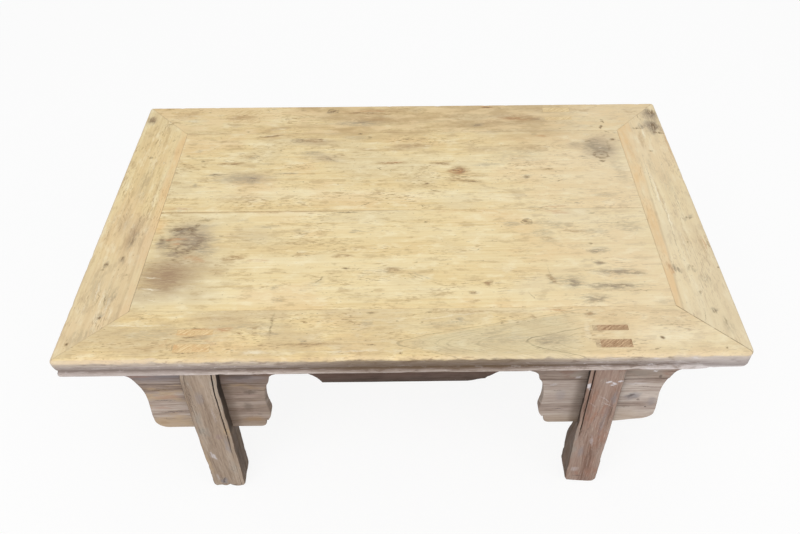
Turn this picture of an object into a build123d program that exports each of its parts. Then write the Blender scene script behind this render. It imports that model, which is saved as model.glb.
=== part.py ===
from build123d import *
import os

# Kang table: a low recessed-leg table with a mitred frame-and-panel top.
# Millimetres. Origin at the centre of the footprint on the floor, +X along the table, +Z up.

# ---- Overall ----------------------------------------------------------------------------
table_length = 900.0
table_width = 560.0
table_height = 340.0

# ---- Top frame --------------------------------------------------------------------------
rail_width = 82.0
rail_thickness = 35.0
corner_radius = 6.0

# Moulded edge, from the top down: rounded arris, band, quirk, cove and bead
arris_radius = 6.0
band_height = 22.0
band_setback = 1.5
quirk_depth = 4.0
cove_depth = 1.0
bead_height = 8.5
bead_projection = 1.5
edge_undercut = 2.5

# Hidden tenons that hold the mitres together
mitre_tenon_width = 26.0
mitre_tenon_thickness = 9.0
mitre_tenon_margin = 14.0
mitre_tenon_rise = 9.0
mitre_tenon_stop = 15.0

# ---- Panel ------------------------------------------------------------------------------
panel_thickness = 16.0
panel_tongue_thickness = 7.0
panel_tongue_length = 8.0
panel_gap = 0.4
movement_gap = 1.0
board_joint_y = 0.0

# ---- Battens under the panel ------------------------------------------------------------
batten_end_setback = 148.0
batten_width = 30.0
batten_recess = 1.0
batten_tenon_length = 12.0
batten_tenon_thickness = 9.0
dovetail_neck = 14.0
dovetail_head = 18.0
dovetail_height = 5.0

# ---- Legs -------------------------------------------------------------------------------
leg_end_setback = 178.0
leg_setback = 11.5
leg_width = 50.0
leg_depth = 40.0
leg_splay_x = 3.0
leg_splay_y = 4.0
front_prong = 14.5
leg_arris_radius = 2.5
leg_bead_width = 6.5
leg_quirk_width = 1.6
leg_quirk_depth = 1.6

# Through tenons at the leg's head, and the wedges beside them
tenon_width = 41.0
tenon_shoulder = 1.5
wedge_head = 6.0
wedge_tip = 3.0

# ---- Aprons -----------------------------------------------------------------------------
apron_thickness = 15.0
apron_housing = 4.0
apron_height = 53.0
apron_end_height = 27.0
apron_end_setback = 38.0
apron_end_curve = 34.0
arch_span = 75.0
arch_rise = 26.0
sweep_bulge = 0.28

# ---- Spandrels: one board in each leg's fork, measured from the leg's centre line ---------
spandrel_height = 107.0
outer_reach = 92.5
outer_waist = 87.5
outer_lobe = 90.5
inner_reach = 85.0
inner_waist = 77.0
inner_beak = 79.5
beak_root = 74.0
inner_foot = 70.0
waist_drop = 33.0
lobe_drop = 74.0
step_drop = 91.0
outer_corner_radius = 18.0
inner_corner_radius = 9.0
top_flare = 0.45
spandrel_tongue_thickness = 5.0
spandrel_tongue_height = 6.0
spandrel_tongue_margin = 10.0

# ---- Side stretchers ----------------------------------------------------------------------
stretcher_width = 24.0
stretcher_height = 26.0
upper_stretcher_drop = 80.0
lower_stretcher_drop = 135.0
stretcher_tenon_width = 10.0
stretcher_tenon_height = 16.0
stretcher_tenon_cover = 2.5

# ---- Fits ---------------------------------------------------------------------------------
joint_gap = 0.1

# ---- Derived places -------------------------------------------------------------------------
half_length = table_length / 2
half_width = table_width / 2
opening_x = half_length - rail_width
opening_y = half_width - rail_width
rail_bottom = table_height - rail_thickness
panel_bottom = table_height - panel_thickness
leg_x = half_length - leg_end_setback
leg_face_y = half_width - leg_setback
leg_back_y = leg_face_y - leg_depth
apron_face_y = leg_face_y - front_prong
apron_back_y = apron_face_y - apron_thickness
apron_end_x = half_length - apron_end_setback
arch_outer_x = leg_x - inner_reach
arch_inner_x = arch_outer_x - arch_span
apron_top = rail_bottom + apron_housing
joint_line = rail_bottom - apron_height
apron_end_bottom = rail_bottom - apron_end_height
spandrel_bottom = joint_line - spandrel_height
mortise_width = tenon_width + wedge_head
tenon_outer_x = leg_x + mortise_width / 2
tenon_inner_x = tenon_outer_x - tenon_width
front_tenon_thickness = front_prong - tenon_shoulder
back_tenon_thickness = apron_back_y - leg_back_y - tenon_shoulder
batten_x = opening_x - batten_end_setback
batten_height = rail_thickness - panel_thickness - batten_recess
batten_bottom = panel_bottom - batten_height
batten_middle = panel_bottom - batten_height / 2
stretcher_tip = apron_back_y - stretcher_tenon_cover

sides = {"front": -1, "back": 1}
ends = {"left": -1, "right": 1}
corners = [(f"{side}_{end}", ends[end], sides[side]) for side in sides for end in ends]
batten_places = {"left": -batten_x, "middle": 0.0, "right": batten_x}
stretcher_drops = {"upper": upper_stretcher_drop, "lower": lower_stretcher_drop}


os.makedirs("parts", exist_ok=True)


def save(piece, name):
    """Label a finished piece and write it as its own file."""
    piece.part.label = name
    export_step(piece.part, f"parts/{name}.step")


def board_plane(sy):
    """Upright plane in the middle of an apron's thickness, local X along the table."""
    middle_y = sy * (apron_face_y + apron_back_y) / 2
    return Plane(origin=(0, middle_y, 0), x_dir=(1, 0, 0), z_dir=(0, -1, 0))


def block(low, high, grow=0.0, mode=Mode.ADD):
    """Box between two corners given in any order, grown by a clearance on every side."""
    middle = tuple((a + b) / 2 for a, b in zip(low, high))
    size = [abs(a - b) + 2 * grow for a, b in zip(low, high)]
    with Locations(middle):
        Box(*size, mode=mode)


# ---- Shapes shared by a piece and by what it fits ----------------------------------------------


def rail_section(outward_edge, inward, along):
    """Section of a frame rail: moulded edge outside, panel groove inside."""
    plane = Plane(origin=outward_edge, x_dir=inward, z_dir=along)
    band_foot = table_height - band_height
    bead_top = rail_bottom + bead_height
    with BuildSketch(plane) as section:
        with BuildLine():
            Line((rail_width, table_height), (arris_radius, table_height))
            TangentArc((arris_radius, table_height), (0, table_height - arris_radius), tangent=(-1, 0))
            TangentArc((0, table_height - arris_radius), (band_setback, band_foot), tangent=(0, -1))
            Line((band_setback, band_foot), (quirk_depth, band_foot))
            ThreePointArc(
                (quirk_depth, band_foot),
                (quirk_depth + cove_depth, (band_foot + bead_top) / 2),
                (quirk_depth, bead_top),
            )
            ThreePointArc(
                (quirk_depth, bead_top),
                (edge_undercut - bead_projection, rail_bottom + bead_height / 2),
                (edge_undercut, rail_bottom),
            )
            Line((edge_undercut, rail_bottom), (rail_width, rail_bottom))
            Line((rail_width, rail_bottom), (rail_width, table_height))
        make_face()
        groove_depth = panel_tongue_length + movement_gap
        groove_height = panel_tongue_thickness + panel_gap
        with Locations((rail_width - groove_depth, panel_bottom)):
            Rectangle(groove_depth, groove_height, align=(Align.MIN, Align.MIN), mode=Mode.SUBTRACT)
    return section.sketch


def trim_to_corners():
    """Round the rail's outer corners in plan."""
    with BuildSketch(Plane.XY.offset(rail_bottom)) as plan:
        RectangleRounded(table_length, table_width, corner_radius)
    extrude(plan.sketch, amount=rail_thickness, mode=Mode.INTERSECT)


def mitre_plan(base, long_edge, short_edge, height):
    """Keep what lies over a plan trapezoid, given by its two parallel edges."""
    with BuildSketch(Plane.XY.offset(base)) as plan:
        with BuildLine():
            Polyline(*long_edge, *short_edge, close=True)
        make_face()
    extrude(plan.sketch, amount=height, mode=Mode.INTERSECT)


def mitre_tenon(sx, sy, grow=0.0, mode=Mode.ADD):
    """Tenon on a long rail's mitre, and with a clearance the mortise for it."""
    inner_y = opening_y + mitre_tenon_margin
    root_x = opening_x + mitre_tenon_margin
    low = (sx * root_x, sy * inner_y, rail_bottom + mitre_tenon_rise)
    high = (
        sx * (half_length - mitre_tenon_stop),
        sy * (inner_y + mitre_tenon_width),
        rail_bottom + mitre_tenon_rise + mitre_tenon_thickness,
    )
    block(low, high, grow, mode)


def apron_housings():
    """Shallow groove in the underside of the rails for the top edge of the aprons."""
    with BuildSketch(Plane.XY.offset(rail_bottom)) as ring:
        Rectangle(2 * (apron_end_x + joint_gap), 2 * (apron_face_y + joint_gap))
        Rectangle(
            2 * (apron_end_x - apron_thickness - joint_gap),
            2 * (apron_back_y - joint_gap),
            mode=Mode.SUBTRACT,
        )
    extrude(ring.sketch, amount=apron_housing, mode=Mode.SUBTRACT)


def tenon_rows():
    """Distances from the middle to the two faces of each through tenon, front prong first."""
    return [
        (apron_face_y + front_tenon_thickness, apron_face_y),
        (apron_back_y, apron_back_y - back_tenon_thickness),
    ]


def through_tenons(sx, sy, grow=0.0, mode=Mode.ADD):
    """The two tenons at a leg's head, or with a clearance the mortises for them."""
    for outer_y, inner_y in tenon_rows():
        low = (sx * tenon_inner_x, sy * outer_y, rail_bottom)
        high = (sx * tenon_outer_x, sy * inner_y, table_height)
        block(low, high, grow, mode)


def tenon_wedges(sx, sy, grow=0.0, mode=Mode.ADD):
    """Tapered wedges at the inner ends of a leg's tenons, or the flare cut for them."""
    for outer_y, inner_y in tenon_rows():
        middle = (outer_y + inner_y) / 2
        with BuildSketch(Plane(origin=(0, sy * middle, 0), x_dir=(1, 0, 0), z_dir=(0, -1, 0))) as taper:
            with BuildLine():
                Polyline(
                    (sx * tenon_inner_x, rail_bottom),
                    (sx * tenon_inner_x, table_height),
                    (sx * (tenon_inner_x - wedge_head), table_height),
                    (sx * (tenon_inner_x - wedge_tip), rail_bottom),
                    close=True,
                )
            make_face()
        extrude(taper.sketch, amount=(outer_y - inner_y) / 2 + grow, both=True, mode=mode)


def batten_tenon(x, sy, grow=0.0, mode=Mode.ADD):
    """Tenon at one end of a batten, or with a clearance the mortise in the long rail."""
    low = (x - batten_width / 2, sy * opening_y, batten_middle - batten_tenon_thickness / 2)
    high = (
        x + batten_width / 2,
        sy * (opening_y + batten_tenon_length),
        batten_middle + batten_tenon_thickness / 2,
    )
    block(low, high, grow, mode)


def dovetail(x, reach, grow=0.0, mode=Mode.ADD):
    """Dovetailed key along a batten, or with a clearance its housing in the panel."""
    neck = dovetail_neck / 2 + grow
    head = dovetail_head / 2 + grow
    with BuildSketch(Plane.XZ) as key:
        with BuildLine():
            Polyline(
                (x - neck, panel_bottom),
                (x - head, panel_bottom + dovetail_height + grow),
                (x + head, panel_bottom + dovetail_height + grow),
                (x + neck, panel_bottom),
                close=True,
            )
        make_face()
    extrude(key.sketch, amount=reach, both=True, mode=mode)


def spandrel_tongue(sx, sy, grow=0.0, mode=Mode.ADD):
    """Tongue along a spandrel's top edge, or with a clearance its groove in the apron."""
    middle_y = (apron_face_y + apron_back_y) / 2
    low = (
        sx * (leg_x - inner_reach + spandrel_tongue_margin),
        sy * (middle_y - spandrel_tongue_thickness / 2),
        joint_line,
    )
    high = (
        sx * (leg_x + outer_reach - spandrel_tongue_margin),
        sy * (middle_y + spandrel_tongue_thickness / 2),
        joint_line + spandrel_tongue_height,
    )
    block(low, high, grow, mode)


def splay_at(height):
    """Share of the leg's splay that is reached at a height above the floor."""
    return 1 - height / rail_bottom


def leg_back_at(height):
    """Distance from the table's middle to a leg's inner face at a height."""
    return leg_back_y + leg_splay_y * splay_at(height)


def stretcher_x(height):
    """Distance from the table's middle to a side stretcher's centre line."""
    return leg_x + leg_splay_x * splay_at(height)


def stretcher_tenon(sx, sy, height, grow=0.0, mode=Mode.ADD):
    """Stub tenon of a side stretcher, or with a clearance its mortise in the leg."""
    x = sx * stretcher_x(height)
    low = (x - stretcher_tenon_width / 2, sy * leg_back_y, height - stretcher_tenon_height / 2)
    high = (x + stretcher_tenon_width / 2, sy * stretcher_tip, height + stretcher_tenon_height / 2)
    block(low, high, grow, mode)


# ---- Top frame: long rails -----------------------------------------------------------------

for side, sy in sides.items():
    edge = (0, sy * half_width, 0)
    with BuildPart() as long_rail:
        section = rail_section(edge, (0, -sy, 0), (-sy, 0, 0))
        extrude(section, amount=half_length, both=True)
        mitre_plan(
            rail_bottom,
            [(-half_length, sy * half_width), (half_length, sy * half_width)],
            [(opening_x, sy * opening_y), (-opening_x, sy * opening_y)],
            rail_thickness,
        )
        trim_to_corners()
        apron_housings()
        for sx in ends.values():
            mitre_tenon(sx, sy)
            through_tenons(sx, sy, joint_gap, Mode.SUBTRACT)
            tenon_wedges(sx, sy, joint_gap, Mode.SUBTRACT)
        for x in batten_places.values():
            batten_tenon(x, sy, joint_gap, Mode.SUBTRACT)
    save(long_rail, f"{side}_long_rail")

# ---- Top frame: end rails ------------------------------------------------------------------

for end, sx in ends.items():
    edge = (sx * half_length, 0, 0)
    with BuildPart() as end_rail:
        section = rail_section(edge, (-sx, 0, 0), (0, sx, 0))
        extrude(section, amount=half_width, both=True)
        mitre_plan(
            rail_bottom,
            [(sx * half_length, -half_width), (sx * half_length, half_width)],
            [(sx * opening_x, opening_y), (sx * opening_x, -opening_y)],
            rail_thickness,
        )
        trim_to_corners()
        apron_housings()
        for sy in sides.values():
            mitre_tenon(sx, sy, joint_gap, Mode.SUBTRACT)
    save(end_rail, f"{end}_end_rail")

# ---- Panel: two boards edge to edge ------------------------------------------------------------

for side, sy in sides.items():
    face_x = opening_x - panel_gap
    face_y = sy * (opening_y - panel_gap)
    tongue_x = opening_x + panel_tongue_length
    tongue_y = sy * (opening_y + panel_tongue_length)
    with BuildPart() as panel_board:
        block((-face_x, board_joint_y, panel_bottom), (face_x, face_y, table_height))
        tongue_top = panel_bottom + panel_tongue_thickness
        block((-tongue_x, board_joint_y, panel_bottom), (tongue_x, tongue_y, tongue_top))
        for x in batten_places.values():
            dovetail(x, opening_y + panel_tongue_length, joint_gap, Mode.SUBTRACT)
    save(panel_board, f"{side}_panel_board")

# ---- Battens under the panel --------------------------------------------------------------------

for place, x in batten_places.items():
    with BuildPart() as batten:
        low = (x - batten_width / 2, -opening_y, batten_bottom)
        high = (x + batten_width / 2, opening_y, panel_bottom)
        block(low, high)
        dovetail(x, opening_y - panel_gap)
        for sy in sides.values():
            batten_tenon(x, sy)
    save(batten, f"{place}_batten")

# ---- Long aprons ----------------------------------------------------------------------------------


def apron_outline():
    """Front view of a long apron: flat middle, an arch each side, and upswept ends."""
    shoulder = leg_x + outer_reach
    sweep_end = shoulder + apron_end_curve
    sweep_middle = shoulder + sweep_bulge * apron_end_curve
    sweep_height = joint_line + (1 - sweep_bulge) * (apron_end_bottom - joint_line)
    Line((-arch_inner_x, joint_line), (arch_inner_x, joint_line))
    for sx in ends.values():
        ThreePointArc(
            (sx * arch_inner_x, joint_line),
            (sx * (arch_inner_x + arch_outer_x) / 2, joint_line + arch_rise),
            (sx * arch_outer_x, joint_line),
        )
        Line((sx * arch_outer_x, joint_line), (sx * shoulder, joint_line))
        ThreePointArc(
            (sx * shoulder, joint_line),
            (sx * sweep_middle, sweep_height),
            (sx * sweep_end, apron_end_bottom),
        )
        Line((sx * sweep_end, apron_end_bottom), (sx * apron_end_x, apron_end_bottom))
        Line((sx * apron_end_x, apron_end_bottom), (sx * apron_end_x, apron_top))
    Line((-apron_end_x, apron_top), (apron_end_x, apron_top))


for side, sy in sides.items():
    with BuildPart() as long_apron:
        with BuildSketch(board_plane(sy)):
            with BuildLine():
                apron_outline()
            make_face()
        extrude(amount=apron_thickness / 2, both=True)
        mitre_plan(
            joint_line,
            [(-apron_end_x, sy * apron_face_y), (apron_end_x, sy * apron_face_y)],
            [
                (apron_end_x - apron_thickness, sy * apron_back_y),
                (apron_thickness - apron_end_x, sy * apron_back_y),
            ],
            apron_top - joint_line,
        )
        for sx in ends.values():
            spandrel_tongue(sx, sy, joint_gap, Mode.SUBTRACT)
    save(long_apron, f"{side}_apron")

# ---- End aprons -----------------------------------------------------------------------------------

for end, sx in ends.items():
    with BuildPart() as end_apron:
        low = (sx * apron_end_x, -apron_face_y, apron_end_bottom)
        high = (sx * (apron_end_x - apron_thickness), apron_face_y, apron_top)
        block(low, high)
        mitre_plan(
            apron_end_bottom,
            [(sx * apron_end_x, -apron_face_y), (sx * apron_end_x, apron_face_y)],
            [
                (sx * (apron_end_x - apron_thickness), apron_back_y),
                (sx * (apron_end_x - apron_thickness), -apron_back_y),
            ],
            apron_top - apron_end_bottom,
        )
    save(end_apron, f"{end}_end_apron")

# ---- Spandrels -------------------------------------------------------------------------------------


def spandrel_outline(sx):
    """Front view of a spandrel: waisted outside with a round foot, beaked inside."""

    def at(reach, height):
        return (sx * (leg_x + reach), height)

    waist_height = joint_line - waist_drop
    lobe_height = joint_line - lobe_drop
    step_height = joint_line - step_drop
    round_height = spandrel_bottom + outer_corner_radius
    heel_height = spandrel_bottom + inner_corner_radius
    Spline(
        at(outer_reach, joint_line),
        at(outer_waist, waist_height),
        at(outer_lobe, lobe_height),
        tangents=[(-sx * top_flare, -1), (0, -1)],
    )
    Line(at(outer_lobe, lobe_height), at(outer_lobe, round_height))
    TangentArc(
        at(outer_lobe, round_height),
        at(outer_lobe - outer_corner_radius, spandrel_bottom),
        tangent=(0, -1),
    )
    Line(
        at(outer_lobe - outer_corner_radius, spandrel_bottom),
        at(inner_corner_radius - inner_foot, spandrel_bottom),
    )
    TangentArc(
        at(inner_corner_radius - inner_foot, spandrel_bottom),
        at(-inner_foot, heel_height),
        tangent=(-sx, 0),
    )
    Line(at(-inner_foot, heel_height), at(-inner_foot, step_height))
    Line(at(-inner_foot, step_height), at(-beak_root, step_height))
    Spline(
        at(-beak_root, step_height),
        at(-inner_beak, lobe_height),
        at(-inner_waist, waist_height),
        at(-inner_reach, joint_line),
        tangents=[(-sx, 1), (-sx * top_flare, 1)],
    )
    Line(at(-inner_reach, joint_line), at(outer_reach, joint_line))


for corner, sx, sy in corners:
    with BuildPart() as spandrel:
        with BuildSketch(board_plane(sy)):
            with BuildLine():
                spandrel_outline(sx)
            make_face()
        extrude(amount=apron_thickness / 2, both=True)
        spandrel_tongue(sx, sy)
    save(spandrel, f"{corner}_spandrel")

# ---- Legs --------------------------------------------------------------------------------------------


def leg_section(sx, sy):
    """Plan of a leg at the floor: rounded arrises, and a quirked bead along both outer arrises."""
    foot = (sx * (leg_x + leg_splay_x), sy * (leg_face_y + leg_splay_y), 0)
    quirk_x = leg_width / 2 - leg_bead_width
    with BuildSketch(Plane(origin=foot, x_dir=(-sy, 0, 0), z_dir=(0, 0, 1))) as section:
        Rectangle(leg_width, leg_depth, align=(Align.CENTER, Align.MIN))
        fillet(section.vertices(), radius=leg_arris_radius)
        for quirk_side in ends.values():
            with BuildLine():
                Polyline(
                    (quirk_side * quirk_x - leg_quirk_width / 2, 0),
                    (quirk_side * quirk_x, leg_quirk_depth),
                    (quirk_side * quirk_x + leg_quirk_width / 2, 0),
                    close=True,
                )
            make_face(mode=Mode.SUBTRACT)
    return section.sketch


for corner, sx, sy in corners:
    lean = Vector(-sx * leg_splay_x, -sy * leg_splay_y, rail_bottom)
    with BuildPart() as leg:
        extrude(leg_section(sx, sy), amount=lean.length, dir=lean)
        block(
            (sx * (leg_x - leg_width), sy * apron_face_y, spandrel_bottom + joint_gap),
            (sx * (leg_x + leg_width), sy * apron_back_y, table_height),
            joint_gap,
            Mode.SUBTRACT,
        )
        through_tenons(sx, sy)
        for drop in stretcher_drops.values():
            stretcher_tenon(sx, sy, rail_bottom - drop, joint_gap, Mode.SUBTRACT)
    save(leg, f"{corner}_leg")

    with BuildPart() as wedges:
        tenon_wedges(sx, sy)
    save(wedges, f"{corner}_tenon_wedges")

# ---- Side stretchers -----------------------------------------------------------------------------------

for end, sx in ends.items():
    for level, drop in stretcher_drops.items():
        height = rail_bottom - drop
        low_edge = height - stretcher_height / 2
        high_edge = height + stretcher_height / 2
        with BuildPart() as stretcher:
            with BuildSketch(Plane.YZ.offset(sx * stretcher_x(height))):
                with BuildLine():
                    Polyline(
                        (-leg_back_at(low_edge), low_edge),
                        (leg_back_at(low_edge), low_edge),
                        (leg_back_at(high_edge), high_edge),
                        (-leg_back_at(high_edge), high_edge),
                        close=True,
                    )
                make_face()
            extrude(amount=stretcher_width / 2, both=True)
            for sy in sides.values():
                stretcher_tenon(sx, sy, height)
        save(stretcher, f"{end}_{level}_stretcher")
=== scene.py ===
import math
import random
import bpy
import bmesh
from mathutils import Matrix, Vector, noise


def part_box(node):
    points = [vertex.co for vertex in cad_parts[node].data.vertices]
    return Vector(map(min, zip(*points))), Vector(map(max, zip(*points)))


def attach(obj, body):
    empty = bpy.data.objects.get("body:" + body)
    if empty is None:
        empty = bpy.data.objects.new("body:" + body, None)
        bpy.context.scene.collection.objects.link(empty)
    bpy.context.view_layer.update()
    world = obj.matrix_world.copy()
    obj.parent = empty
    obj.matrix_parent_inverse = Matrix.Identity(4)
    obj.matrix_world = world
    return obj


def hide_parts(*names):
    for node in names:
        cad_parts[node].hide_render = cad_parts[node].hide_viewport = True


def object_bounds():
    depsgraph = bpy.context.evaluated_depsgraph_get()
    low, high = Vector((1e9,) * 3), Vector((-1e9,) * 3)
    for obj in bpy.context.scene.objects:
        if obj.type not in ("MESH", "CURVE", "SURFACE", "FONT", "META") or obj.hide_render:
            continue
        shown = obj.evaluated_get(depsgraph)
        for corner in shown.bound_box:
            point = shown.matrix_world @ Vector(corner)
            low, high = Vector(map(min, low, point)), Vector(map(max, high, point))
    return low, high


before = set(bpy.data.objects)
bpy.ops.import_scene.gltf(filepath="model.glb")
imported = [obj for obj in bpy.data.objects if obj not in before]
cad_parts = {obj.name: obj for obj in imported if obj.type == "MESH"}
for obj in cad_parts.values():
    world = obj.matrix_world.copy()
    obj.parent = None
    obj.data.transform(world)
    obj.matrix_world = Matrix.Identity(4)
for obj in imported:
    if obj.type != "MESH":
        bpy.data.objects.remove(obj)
cad_low, cad_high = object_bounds()

# A worn kang table in bare elm. Metres, origin on the floor under the middle of the table,
# +X along the table, +Y towards the back, +Z up.

MM = 0.001
UP = Vector((0, 0, 1))

# ---- Sizes read from the frame ---------------------------------------------------------------

HALF_LENGTH = cad_high.x
HALF_WIDTH = cad_high.y
TOP = cad_high.z
RAIL_LOW, RAIL_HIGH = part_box("front_long_rail")
RAIL_BOTTOM = RAIL_LOW.z
RAIL_WIDTH = RAIL_HIGH.y - RAIL_LOW.y
BOARD_LOW, BOARD_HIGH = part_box("back_panel_board")
BOARD_BOTTOM = BOARD_LOW.z
OPENING_X = HALF_LENGTH - RAIL_WIDTH
OPENING_Y = HALF_WIDTH - RAIL_WIDTH
APRON_LOW, APRON_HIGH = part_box("front_apron")
SPANDREL_LOW, SPANDREL_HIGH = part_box("front_right_spandrel")
LEG_LOW, LEG_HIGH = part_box("front_right_leg")
WEDGE_LOW, WEDGE_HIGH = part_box("front_right_tenon_wedges")

# ---- Sizes of the members ----------------------------------------------------------------------

CORNER_RADIUS = 6 * MM
KNOCKED_RADIUS = 10 * MM
KNOCKED_ROUND = 13 * MM
MITRE_GAP = 0.05 * MM
ARRIS_RADIUS = 6 * MM
BAND_SETBACK = 2.4 * MM
BAND_FOOT = RAIL_BOTTOM + 13.5 * MM
QUIRK_DEPTH = 3.6 * MM
COVE_DEPTH = 0.6 * MM
BEAD_TOP = RAIL_BOTTOM + 10 * MM
BEAD_PROJECTION = 1.6 * MM
BEAD_DROOP = 1.7
EDGE_UNDERCUT = 2.5 * MM
PANEL_GAP = 0.12 * MM

LEG_WIDTH = 50 * MM
LEG_DEPTH = 40 * MM
LEG_X = 272 * MM
LEG_SPLAY_X = 3 * MM
LEG_SPLAY_Y = 4 * MM
LEG_ARRIS = 2.5 * MM
LEG_BEAD = 6.5 * MM
LEG_QUIRK = 1.6 * MM
TENON_WIDTH = 41 * MM
TENON_OUTER_X = WEDGE_HIGH.x + TENON_WIDTH

APRON_FACE = -APRON_LOW.y
APRON_THICKNESS = APRON_HIGH.y - APRON_LOW.y
APRON_BACK = APRON_FACE - APRON_THICKNESS
JOINT_LINE = APRON_LOW.z
APRON_END_X = APRON_HIGH.x
APRON_END_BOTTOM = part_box("left_end_apron")[0].z
SPANDREL_BOTTOM = SPANDREL_LOW.z
SPANDREL_OUTER_X = SPANDREL_HIGH.x
SPANDREL_INNER_X = SPANDREL_LOW.x
ARCH_SPAN = 75 * MM
ARCH_RISE = 26 * MM

CREASE = math.radians(38)


# ---- Mesh helpers --------------------------------------------------------------------------------


def arc(centre, radius, start, end, steps):
    """Points along a circular arc, angles in degrees."""
    turns = [math.radians(start + (end - start) * i / steps) for i in range(steps + 1)]
    return [(centre[0] + radius * math.cos(t), centre[1] + radius * math.sin(t)) for t in turns]


def smooth_curve(points, steps):
    """Points along a smooth line through the given ones."""
    line = []
    closed_ends = [points[0], *points, points[-1]]
    for before, a, b, after in zip(closed_ends, closed_ends[1:], closed_ends[2:], closed_ends[3:]):
        a, b, before, after = Vector(a), Vector(b), Vector(before), Vector(after)
        for i in range(steps):
            t = i / steps
            bend = (b - before) * t * (1 - t) ** 2 / 2 - (after - a) * t * t * (1 - t) / 2
            line.append(tuple(a.lerp(b, t * t * (3 - 2 * t)) + bend))
    return line + [tuple(points[-1])]


def divide(outline, longest, closed=True):
    """The outline with extra points, so that no step is longer than given."""
    points = []
    ends = outline[1:] + outline[:1] if closed else outline[1:]
    for a, b in zip(outline, ends):
        a, b = Vector(a), Vector(b)
        steps = max(1, math.ceil((b - a).length / longest - 1e-6))
        points += [tuple(a.lerp(b, i / steps)) for i in range(steps)]
    return points if closed else points + [tuple(outline[-1])]


def face_from(bm, outline, place):
    """One face whose corners are the outline's points, put in space by place(u, v)."""
    corners = [bm.verts.new(place(u, v)) for u, v in outline]
    return bm.faces.new(corners)


def pull(bm, face, shift):
    """Extrude a face and return the faces at its far end."""
    made = bmesh.ops.extrude_face_region(bm, geom=[face])["geom"]
    moved = [g for g in made if isinstance(g, bmesh.types.BMVert)]
    bmesh.ops.translate(bm, verts=moved, vec=shift)
    return [g for g in made if isinstance(g, bmesh.types.BMFace)]


def cut(bm, point, normal, faces=None, clear=False):
    """Cut the mesh, or some of its faces, by a plane. With clear, drop what the normal points at."""
    if faces is None:
        geometry = bm.verts[:] + bm.edges[:] + bm.faces[:]
    else:
        edges = {e for f in faces for e in f.edges}
        verts = {v for f in faces for v in f.verts}
        geometry = list(verts) + list(edges) + list(faces)
    bmesh.ops.bisect_plane(
        bm, geom=geometry, dist=1e-6, plane_co=point, plane_no=normal, clear_outer=clear
    )
    if clear:
        bmesh.ops.holes_fill(bm, edges=[e for e in bm.edges if e.is_boundary], sides=0)


def slice_along(bm, axis, low, high, step):
    """Add loops across an axis, evenly, so that the surface can be worn."""
    count = max(1, round((high - low) / step))
    normal = [0, 0, 0]
    normal[axis] = 1
    for i in range(1, count):
        point = [0, 0, 0]
        point[axis] = low + (high - low) * i / count
        cut(bm, point, normal)


def chamfered(bm, edges, width, segments=3):
    """Round edges over."""
    bmesh.ops.bevel(
        bm, geom=edges, offset=width, offset_type="OFFSET", segments=segments, profile=0.5,
        affect="EDGES", material=-1,
    )


def rough(place, scale, seed, octaves=3):
    """Smooth noise, about -1 to 1, at a place."""
    return noise.fractal(place * scale + Vector((seed * 7.3, seed * 3.1, seed)), 1.0, 2.0, octaves)


def wear(bm, amount, grain, scale=28, seed=1, stretch=6):
    """Rub the surface down by an uneven amount that runs along the grain."""
    bm.normal_update()
    squeeze = Vector([1 / stretch if i == grain else 1 for i in range(3)])
    shifts = []
    for v in bm.verts:
        broad = rough(v.co * squeeze, scale, seed)
        fine = rough(v.co * squeeze, scale * 5, seed + 5)
        depth = amount * min(1, max(0, 0.5 + 0.45 * broad + 0.25 * fine))
        shifts.append(v.normal * -depth)
    for v, shift in zip(bm.verts, shifts):
        v.co += shift


def press(bm, place, reach, shift):
    """Move the surface near a place, all in millimetres: most at the place, nothing beyond the reach."""
    place, shift = Vector(place) * MM, Vector(shift) * MM
    for v in bm.verts:
        away = Vector([(v.co[i] - place[i]) / (reach[i] * MM) for i in range(3)]).length
        if away < 1:
            v.co += shift * (1 - away * away) ** 2


def scatter_nicks(bm, count, seed, size, depth, low, high, inward):
    """Small chips at random places on the surface inside a box, knocked in along one direction."""
    draw = random.Random(seed)
    near = [v for v in bm.verts if all(low[i] <= v.co[i] <= high[i] for i in range(3))]
    places = [v.co / MM for v in draw.sample(near, min(count, len(near)))]
    for place in places:
        share = draw.uniform(0.3, 1)
        long = draw.uniform(0.8, 2.2)
        reach = (size * share * long, size * share, size * share)
        press(bm, place, reach, Vector(inward) * depth * share)


def smooth_step(value, low, high):
    """0 before low, 1 after high, and a smooth rise between."""
    t = min(1, max(0, (value - low) / (high - low)))
    return t * t * (3 - 2 * t)


def keep_inside(bm):
    """Hold every point inside the table's own box."""
    for v in bm.verts:
        for i in range(3):
            v.co[i] = min(max(v.co[i], cad_low[i]), cad_high[i])


def finish_piece(name, bm, materials, slot, *nodes):
    """Close the mesh work and hand the piece over to the frame."""
    keep_inside(bm)
    bmesh.ops.recalc_face_normals(bm, faces=bm.faces[:])
    for face in bm.faces:
        face.smooth = True
    for edge in bm.edges:
        edge.smooth = edge.calc_face_angle(0) < CREASE
    mesh = bpy.data.meshes.new(name)
    bm.to_mesh(mesh)
    bm.free()
    for material in materials:
        mesh.materials.append(material)
    piece = bpy.data.objects.new(name, mesh)
    bpy.context.scene.collection.objects.link(piece)
    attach(piece, "root")
    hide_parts(*nodes)
    return piece


# ---- Camera, light and floor ----------------------------------------------------------------------

IMAGE_WIDTH = 800
SENSOR = 36.0
FOCAL_PIXELS = 763.5
CENTRE_RIGHT_PIXELS = 15.5
CENTRE_UP_PIXELS = 25.7
CAMERA_PLACE = (9.5 * MM, -867 * MM, 1122.8 * MM)
CAMERA_DOWN = math.radians(44.454)
CAMERA_YAW = math.radians(-0.634)
CAMERA_ROLL = math.radians(-0.19)


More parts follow.
